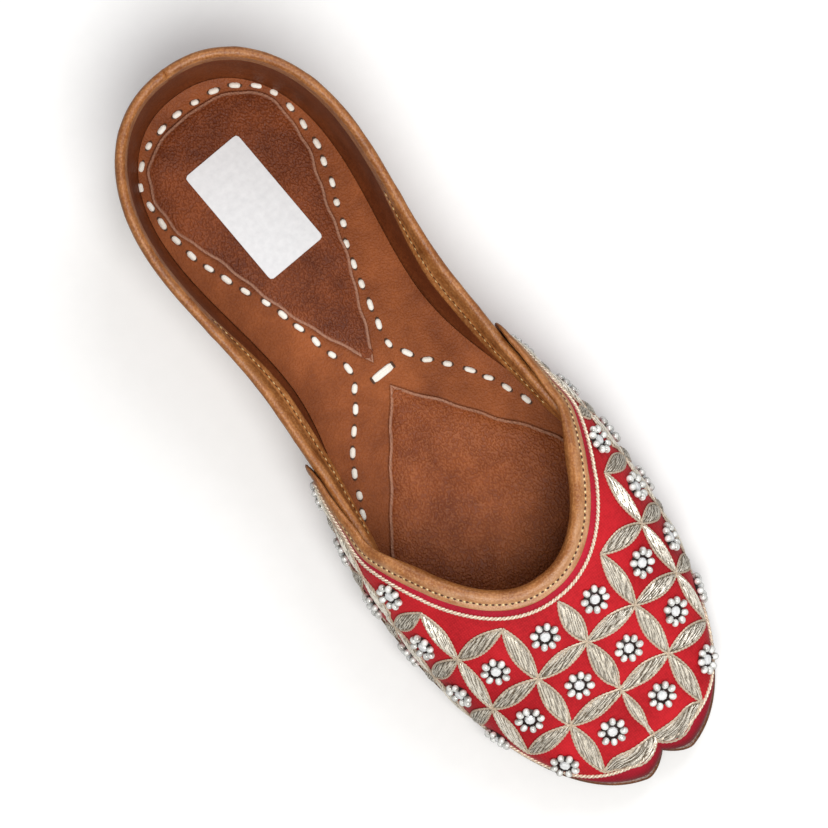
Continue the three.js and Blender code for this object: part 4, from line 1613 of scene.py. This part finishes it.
@dataclass
class Lattice:
    """The chart that the embroiderer marks out: nodes on a square net, a flower in each mesh."""

    chart: ClothMap
    vamp: Vamp
    across: float = 18.2
    forward: float = 17.6
    origin: float = 206.8  # station of the node on the centre line
    throat_room: float = 6.6  # from the throat's edge to its cord
    rear_room: float = 4.2  # from the ear's rear edge to the stitching
    clear: float = 0.6  # from a petal's tip to a cord
    waver: float = 0.45
    cord_start: float = 124  # station where the throat's cord starts
    foot_start: float = 128.5  # station where the foot's cord starts
    least_share: float = 0.4  # a petal with less room than this share of its length is left out

    @cached_property
    def throat_line(self) -> tuple[Array, Array]:
        """The line of the cord round the throat, on the right side."""
        last = self.chart.last
        u, angle = self.vamp.ear_path(0.5)
        station = last.station(last.point(u, angle))
        room = self.throat_room * (0.72 + 0.28 * smooth(122, 150, station))
        place, angle = last.step_off(u, angle, room)
        forward = last.station(last.point(place, angle)) > self.cord_start
        keep = forward & (np.arange(len(u)) > 14)  # the first few lie round the ear's corner
        return place[keep], angle[keep]

    @cached_property
    def foot_line(self) -> tuple[Array, Array]:
        """The line of the cord along the foot, on the right side."""
        last = self.chart.last
        first = float(self.vamp.at_station(self.foot_start))
        u = np.concatenate([np.linspace(first, 2, 150)[:-1], np.linspace(2, 3, 300)])
        return last.step_off(u, np.full_like(u, self.vamp.foot_start), -self.vamp.foot_rise(u))

    @cached_property
    def borders(self) -> tuple[Array, Array]:
        """The two cords as lines of points on the right side."""
        last = self.chart.last
        lines = (self.throat_line, self.foot_line)
        return tuple(last.wall(u, angle, last.face(u, angle)) for u, angle in lines)

    def inside(self, chart: Array, throat: float, foot: float) -> Array:
        """Tells which chart points lie between the two cords.

        Args:
            chart: the points as (across, station).
            throat: the room kept to the throat's cord.
            foot: the room kept to the foot's cord.

        Returns:
            True for the points inside.
        """
        right = np.abs(chart * [1, 0]) + chart * [0, 1]
        points = self.chart.cloth(right, 0)
        u, angle, _ = self.chart.place(right)
        top = np.linalg.norm(points[:, None] - self.borders[0][None], axis=-1).min(1)
        low = np.linalg.norm(points[:, None] - self.borders[1][None], axis=-1).min(1)
        (top_u, top_angle), (low_u, low_angle) = self.throat_line, self.foot_line
        below = angle < np.interp(u, top_u, top_angle)
        above = angle > np.interp(u, low_u, low_angle)
        stations, _, _, _, width = self.chart.tables
        room = np.interp(chart[:, 1], stations, width) - np.abs(chart[:, 0])
        rear = self.vamp.ear_edge(np.clip(angle / self.chart.last.vamp_edge(u), 0, 1)) + self.rear_room
        ahead = (chart[:, 1] < stations[-1] - 0.5) & (u > self.vamp.at_station(rear))
        return (top > throat) & (low > foot) & (room > 1.0) & ahead & below & above

    def node(self, i: int, j: int) -> Array:
        """Gives a node's place on the chart, as the hand marked it.

        Args:
            i: its count across.
            j: its count forward.

        Returns:
            Its place as (across, station).
        """
        rng = np.random.default_rng(SEED + 100 * (i + 20) + j + 20)
        shift = rng.uniform(-self.waver, self.waver, 2)
        return np.array([self.across * i, self.origin + self.forward * j]) + shift * [i != 0, 1]

    def petals(self) -> list[tuple[Array, Array, Run]]:
        """Gives the two ends of every petal that has room on the cloth."""
        found = []
        t = np.linspace(0, 1, 37)
        for i in range(-5, 6):
            for j in range(-5, 3):
                for run, (di, dj) in ((Run.FORWARD, (0, 1)), (Run.ACROSS, (1, 0))):
                    start, end = self.node(i, j), self.node(i + di, j + dj)
                    line = start + (end - start) * t[:, None]
                    free = self.inside(line, self.clear, self.clear)
                    if free.sum() < self.least_share * len(t):
                        continue
                    kept = np.flatnonzero(free)
                    found.append((line[kept[0]], line[kept[-1]], run))
        return found

    def flowers(self) -> list[Array]:
        """Gives the middle of every flower."""
        found = []
        for i in range(-5, 5):
            for j in range(-5, 3):
                corners = [self.node(i + a, j + b) for a in (0, 1) for b in (0, 1)]
                middle = np.mean(corners, axis=0)
                if self.inside(middle[None], 3.6, 2.6)[0]:
                    found.append(middle)
        return found


@dataclass
class Petals:
    """Lens-shaped petals of couched satin thread, raised over padding and outlined with cord."""

    lattice: Lattice
    half_width: float = 2.5
    height: float = 0.95
    lanes: int = 16
    strand: float = 0.165
    outline: float = 0.4
    bead: float = 1.15  # length of one twist of the outline cord

    def half(self, t: Array, length: float) -> Array:
        """Gives the petal's half width at shares of its length."""
        full = self.half_width * min(1, (length / 15) ** 0.15)
        return full * np.clip(1 - np.abs(2 * t - 1) ** 1.75, 0, 1) ** 0.95

    def over(self, start: Array, end: Array, t: Array, v: Array, lift: Array | float) -> Array:
        """Gives points of a petal's swelling face.

        Args:
            start: the petal's start on the chart.
            end: its end.
            t: shares of its length.
            v: distances to the side of its middle line.
            lift: the height above its padding.

        Returns:
            The points, one row each.
        """
        way = end - start
        length = float(np.linalg.norm(way))
        way = way / length
        aside = np.array([-way[1], way[0]])
        half = np.maximum(self.half(t, length), 1e-3)
        swell = np.sqrt(np.clip(1 - (v / (half + 0.15)) ** 2, 0, 1)) * (half / self.half_width) ** 0.6
        middle = start + way * (length * t)[..., None]
        cloth = self.lattice.chart.cloth
        stretch = np.linalg.norm(cloth(middle + aside * 0.5, 0) - cloth(middle - aside * 0.5, 0), axis=-1)
        chart = middle + aside * (np.asarray(v) / np.clip(stretch, 0.8, 3) ** 0.6)[..., None]
        return self.lattice.chart.cloth(chart, 0.08 + self.height * swell + lift)

    def petal(self, shape: Shape, cords: Shape, start: Array, end: Array, run: Run,
              rng: np.random.Generator) -> None:
        """Sews one petal.

        Args:
            shape: where the satin goes.
            cords: where the outline goes.
            start: its start on the chart.
            end: its end.
            run: the way it points.
            rng: the hand's unevenness.
        """
        length = float(np.linalg.norm(end - start))
        t = (1 - np.cos(np.linspace(0, math.pi, 12))) / 2
        share = np.linspace(-1, 1, 7)
        grid_t, grid_v = np.meshgrid(t, share, indexing="ij")
        grid_v = grid_v * self.half(grid_t, length)
        # Painted sheen: petals that run forward get a brighter tint than those that run across, for the
        # satin's sheen, which changes with the way its strands lie.
        underlay_sheen = 0.3 if run is Run.FORWARD else 0.12
        shape.grid(self.over(start, end, grid_t, grid_v, -0.06), tint=underlay_sheen)
        slant = rng.uniform(0.16, 0.3) * (1 if run is Run.FORWARD else -1)
        bright = (0.62, 1.1) if run is Run.FORWARD else (0.36, 0.95)
        widest = self.half(np.array([0.5]), length)[0]
        places, offsets = [], []
        for lane in np.linspace(-1, 1, self.lanes):
            at = rng.uniform(-0.12, 0.1)
            while at < 1:
                piece = rng.uniform(2.6, 4.6) / length
                ts = np.clip(np.linspace(at, at + piece, 6), 0.03, 0.97)
                v = lane * widest * 0.98 + slant * (ts - (at + piece / 2)) * length
                span = np.flatnonzero(np.abs(v) < self.half(ts, length) - 0.12)
                at += piece * rng.uniform(0.88, 1.04)
                if len(span) >= 3 and ts[-1] - ts[0] >= 0.05:
                    places.append(np.linspace(ts[span[0]], ts[span[-1]], 4))
                    offsets.append(np.linspace(v[span[0]], v[span[-1]], 4))
        places, offsets = np.array(places), np.array(offsets)
        count = (len(places), 1)
        arch = np.array([-0.14, 0.12, 0.12, -0.14]) + rng.uniform(-0.04, 0.07, count)
        centres = self.over(start, end, places, offsets, arch)
        up = unit(self.over(start, end, places, offsets, arch + 1) - centres)
        radii = self.strand * np.array([0.5, 1, 1, 0.5]) * rng.uniform(0.8, 1.2, count)
        shade = rng.uniform(*bright, count) + np.array([-0.3, 0, 0.1, -0.1])
        shape.strands(centres, radii, up, 4, shade)
        steps = max(8, int(length / self.bead * 3))
        ts = np.linspace(0.0, 1.0, steps + 1)
        for side in (-1, 1):
            v = side * (self.half(ts, length) + 0.12)
            beads = 0.8 + 0.28 * np.cos(np.arange(steps + 1) * 2 * math.pi / 3 + side)
            chart_line = self.over(start, end, ts, v, 0.22)
            # Painted highlight and shade: each twist's swell gets a brighter tint than the narrow place
            # between twists.
            cords.tube(chart_line, self.outline * beads, 5, tint=np.where(beads > 1, 1.1, 0.6))

    def build(self) -> list[Piece]:
        """Sews all the petals, as three pieces of satin and one of cord."""
        rng = np.random.default_rng(SEED + 3)
        cords = Shape()
        parts = {"left": Shape(), "middle": Shape(), "right": Shape()}
        for start, end, run in self.lattice.petals():
            x = (start[0] + end[0]) / 2
            where = "middle" if abs(x) < 14 else "left" if x < 0 else "right"
            self.petal(parts[where], cords, start, end, run, rng)
        made = [part.build(f"petal_satin_{where}", [SATIN], "vamp_cloth") for where, part in parts.items()]
        return [*made, cords.build("petal_outline_cord", [CORD], "vamp_cloth")]


@dataclass
class BeadFlowers:
    """Flowers of eight silver-lined beads round a cut stone, over a blackened setting."""

    lattice: Lattice
    ring: float = 3.4
    bead: float = 1.26  # a bead's radius
    stone: float = 1.65  # the stone's radius
    petals: int = 8

    def bead_mesh(self, shape: Shape, place: Array, across: Array, forward: Array, out: Array, size: float,
                  tint: float) -> None:
        """Adds one bead, a round body pierced through, lying on its side.

        Args:
            shape: where it goes.
            place: its middle.
            across: the direction of its hole.
            forward: the direction square to its hole.
            out: the direction away from the cloth.
            size: its radius.
            tint: its brightness.
        """
        rows, sides = 8, 12
        lat = np.linspace(0.16, math.pi - 0.16, rows)[:, None]
        lon = np.arange(sides)[None] * 2 * math.pi / sides
        ring = np.sin(lat) ** 0.9
        points = (place + across * (np.cos(lat) * 0.86)[..., None] * size
                  + forward * (ring * np.cos(lon))[..., None] * size
                  + out * (ring * np.sin(lon))[..., None] * size * 0.9)
        # Painted shade: the bead darkens towards the ends of its hole.
        shade = np.repeat(tint * (0.35 + 0.65 * np.sin(lat) ** 2), sides, 1)
        shape.grid(points, round_columns=True, tint=shade)
        # The hole's ends are painted fully in shade.
        shape.lid(points[0][::-1], tint=0.0)
        shape.lid(points[-1], tint=0.0)

    def flower(self, beads: Shape, stones: Shape, settings: Shape, middle: Array,
               rng: np.random.Generator) -> None:
        """Adds one flower.

        Args:
            beads: where its beads go.
            stones: where its stone goes.
            settings: where its blackened setting goes.
            middle: its middle on the chart.
            rng: the hand's unevenness.
        """
        place, across, forward, out = (part[0] for part in self.lattice.chart.axes(middle[None]))
        spin = rng.uniform(0, 2 * math.pi)
        turn = np.arange(24) * 2 * math.pi / 24
        rim = []
        for radius, height in ((3.5, 0.05), (3.3, 0.3), (2.6, 0.5), (1.9, 0.7), (1.2, 0.6)):
            wave = radius * (1 + 0.05 * np.cos(self.petals * (turn - spin)))
            spokes = across * np.cos(turn)[:, None] + forward * np.sin(turn)[:, None]
            rim.append(place + spokes * wave[:, None] + out * height)
        settings.grid(np.array(rim), round_columns=True, tint=0.3)
        settings.lid(rim[-1], tint=0.3)
        for k in range(self.petals):
            a = spin + k * 2 * math.pi / self.petals + rng.uniform(-0.06, 0.06)
            radial = across * math.cos(a) + forward * math.sin(a)
            tangent = forward * math.cos(a) - across * math.sin(a)
            at = place + radial * (self.ring + rng.uniform(-0.12, 0.12))
            at = at + out * (1.05 + rng.uniform(-0.1, 0.1))
            size = self.bead * rng.uniform(0.94, 1.04)
            self.bead_mesh(beads, at, tangent, radial, out, size, rng.uniform(0.75, 1.1))
            foot = place + radial * 2.1 + out * 0.9
            settings.tube(np.array([foot, foot + radial * 0.45 + out * 0.12, foot + radial * 0.9]),
                          np.array([0.3, 0.36, 0.2]), 5, tint=rng.uniform(0, 0.8))
        facets = np.arange(8) * 2 * math.pi / 8 + rng.uniform(0, 1)
        rings = []
        for radius, height, offset in ((1.0, 0.55, 0), (1.0, 0.85, 0), (0.86, 1.3, 0.39), (0.5, 1.62, 0)):
            a = facets + offset
            spokes = across * np.cos(a)[:, None] + forward * np.sin(a)[:, None]
            rings.append(place + spokes * radius * self.stone + out * height)
        stones.grid(np.array(rings), round_columns=True, tint=0.75)
        stones.lid(rings[-1], tint=0.95)

    def build(self) -> list[Piece]:
        """Makes all the flowers."""
        rng = np.random.default_rng(SEED + 4)
        beads, stones, settings = Shape(), Shape(), Shape()
        for middle in self.lattice.flowers():
            self.flower(beads, stones, settings, middle, rng)
        return [beads.build("flower_seed_beads", [BEAD], "vamp_cloth"),
                stones.build("flower_cut_stones", [STONE], "vamp_cloth", sharp_degrees=15),
                settings.build("flower_settings", [BLACK], "vamp_cloth")]


@dataclass
class EdgeCords:
    """Twisted gilt cord, couched along the throat and along the foot of the vamp."""

    last: Last
    lattice: Lattice
    strand: float = 0.33
    helix: float = 0.3
    pitch: float = 2.4

    def cord(self, name: str, centres: Array, out: Array) -> Piece:
        """Makes a two-strand cord.

        Args:
            name: the piece's name.
            centres: its middle line.
            out: the direction away from the cloth at each point.

        Returns:
            The new object.
        """
        line = even(np.hstack([centres, out]), self.pitch / 7)
        points, out = line[:, :3], unit(line[:, 3:])
        way = unit(np.gradient(points, axis=0))
        aside = unit(np.cross(way, out))
        phase = along(points) * 2 * math.pi / self.pitch
        shape = Shape()
        for half_turn, tint in ((0, 0.95), (math.pi, 0.7)):
            turn = (phase + half_turn)[:, None]
            strand = points + (aside * np.cos(turn) + out * np.sin(turn)) * self.helix
            shape.tube(strand, self.strand, 6, tint=tint)
        return shape.build(name, [CORD], "vamp_cloth")

    def build(self) -> list[Piece]:
        """Makes the throat's cord and the foot's cord."""
        last = self.last
        made = []
        lines = {"throat_cord": self.lattice.throat_line, "foot_cord": self.lattice.foot_line}
        for name, (u, angle) in lines.items():
            face = last.face(u, angle)
            centres = last.wall(u, angle, face + self.strand)
            out = unit(last.wall(u, angle, face + 1.5) - centres)
            out[-1, 0] = 0
            made.append(self.cord(name, mirrored(centres), mirrored(out)))
        return made


# ---- studio --------------------------------------------------------------------------------
@dataclass(frozen=True)
class Seamless(Finish):
    """Seamless backdrop paper: white and matt, with the faintest tooth."""

    face: str
    hollow: str = "#F6F6F6"

    def shade(self, tree: Tree) -> Socket:
        """Builds the finish's nodes and gives its shader."""
        where = add(tree, "TexCoord", get="Object")
        tooth = add(tree, "TexNoise", inputs={"Vector": where, "Scale": per(6), "Detail": 3})
        colour = add(tree, "Mix", RGBA, {"Factor": tooth, 6: linear(self.hollow), 7: linear(self.face)}, 2)
        return add(tree, "BsdfPrincipled", inputs={"Base Color": colour, "Roughness": 0.9})


# Seamless paper under the shoe: white, and too matt to mirror it.
BACKDROP = Seamless("backdrop_paper_white", "#FAFAFA")


@dataclass
class Studio:
    """A white floor, soft light from large panels, and the camera."""

    eye: tuple = (-66.1, -11.0, 1728.6)
    aim: tuple = (0.0, 2.0, 20.0)
    level: tuple = (0.80178, -0.59762, 0.0)  # the camera's own direction to the right
    lens: float = 252
    sensor: float = 36
    floor_size: float = 6000
    floor_gap: float = 0.02  # from the floor up to the sole
    room_light: float = 0.34
    # Each panel: name, place, width, power, colour.
    panels: tuple = (
        ("panel_overhead", (-250, -620, 1750), 1300, 29, "#FFFEFB"),
        ("panel_side", (1000, 700, 1200), 900, 8, "#FBFCFF"),
    )

    def build(self) -> None:
        """Makes the floor, the lights and the camera."""
        scene = bpy.context.scene
        half = self.floor_size / 2
        shape = Shape()
        line = np.linspace(-half, half, 9)
        x, y = np.meshgrid(line, line, indexing="ij")
        shape.grid(np.stack([x, y, np.full_like(x, -self.floor_gap)], -1))
        mesh = bpy.data.meshes.new("backdrop_floor")
        mesh.from_pydata((np.vstack(shape.points) * MM).tolist(), [], shape.faces)
        mesh.materials.append(BACKDROP.material)
        floor = bpy.data.objects.new("backdrop_floor", mesh)
        # Little light comes back up from it, as over a raised glass table.
        floor.visible_diffuse = floor.visible_glossy = False
        scene.collection.objects.link(floor)
        for name, place, width, power, colour in self.panels:
            lamp = bpy.data.lights.new(name, "AREA")
            lamp.shape = "DISK"
            lamp.size = width * MM
            lamp.energy = power
            lamp.color = linear(colour)[:3]
            panel = bpy.data.objects.new(name, lamp)
            panel.location = Vector(place) * MM
            panel.rotation_euler = (Vector((0, 0, 0)) - Vector(place)).to_track_quat("-Z", "Y").to_euler()
            scene.collection.objects.link(panel)
        world = bpy.data.worlds.new("soft_room")
        world.use_nodes = True
        backdrop = world.node_tree.nodes["Background"]
        backdrop.inputs["Color"].default_value = linear("#FFFFFF")
        backdrop.inputs["Strength"].default_value = self.room_light
        scene.world = world
        scene.view_settings.view_transform = "Standard"
        self.camera()

    def camera(self) -> None:
        """Makes the camera, rolled so that the shoe lies slantwise."""
        lens = bpy.data.cameras.new("camera")
        lens.lens = self.lens
        lens.sensor_width = self.sensor
        lens.clip_end = 20
        camera = bpy.data.objects.new("camera", lens)
        eye, aim = Vector(self.eye) * MM, Vector(self.aim) * MM
        ahead = (aim - eye).normalized()
        right = Vector(self.level)
        right = (right - ahead * right.dot(ahead)).normalized()
        turn = Matrix((right, right.cross(ahead), -ahead)).transposed()
        camera.matrix_world = Matrix.Translation(eye) @ turn.to_4x4()
        bpy.context.scene.collection.objects.link(camera)
        bpy.context.scene.camera = camera


def main() -> None:
    """Builds the shoe, piece by piece, and the studio round it."""
    logging.basicConfig(level=logging.INFO, format="%(name)s: %(message)s")
    last = Last()
    vamp = Vamp(last)
    lattice = Lattice(ClothMap(last), vamp)
    Studio().build()
    Outsole(last).build()
    Upper(last).build()
    vamp.build()
    collar_binding(last)
    throat_binding(last, vamp)
    Insole(last).build()
    HandStitches(last).build()
    # The heel pad takes the darker copy of its hide, as painted shade.
    Pad(last, "heel_pad_tumbled", "heel_pad", HEEL_PAD, finish=SHADED_PAD).build()
    Pad(last, "forefoot_pad_tumbled", "forefoot_pad", FOREFOOT_PAD).build()
    SizeLabel(last).build()
    Petals(lattice).build()
    BeadFlowers(lattice).build()
    EdgeCords(last, lattice).build()


if __name__ == "__main__":
    main()
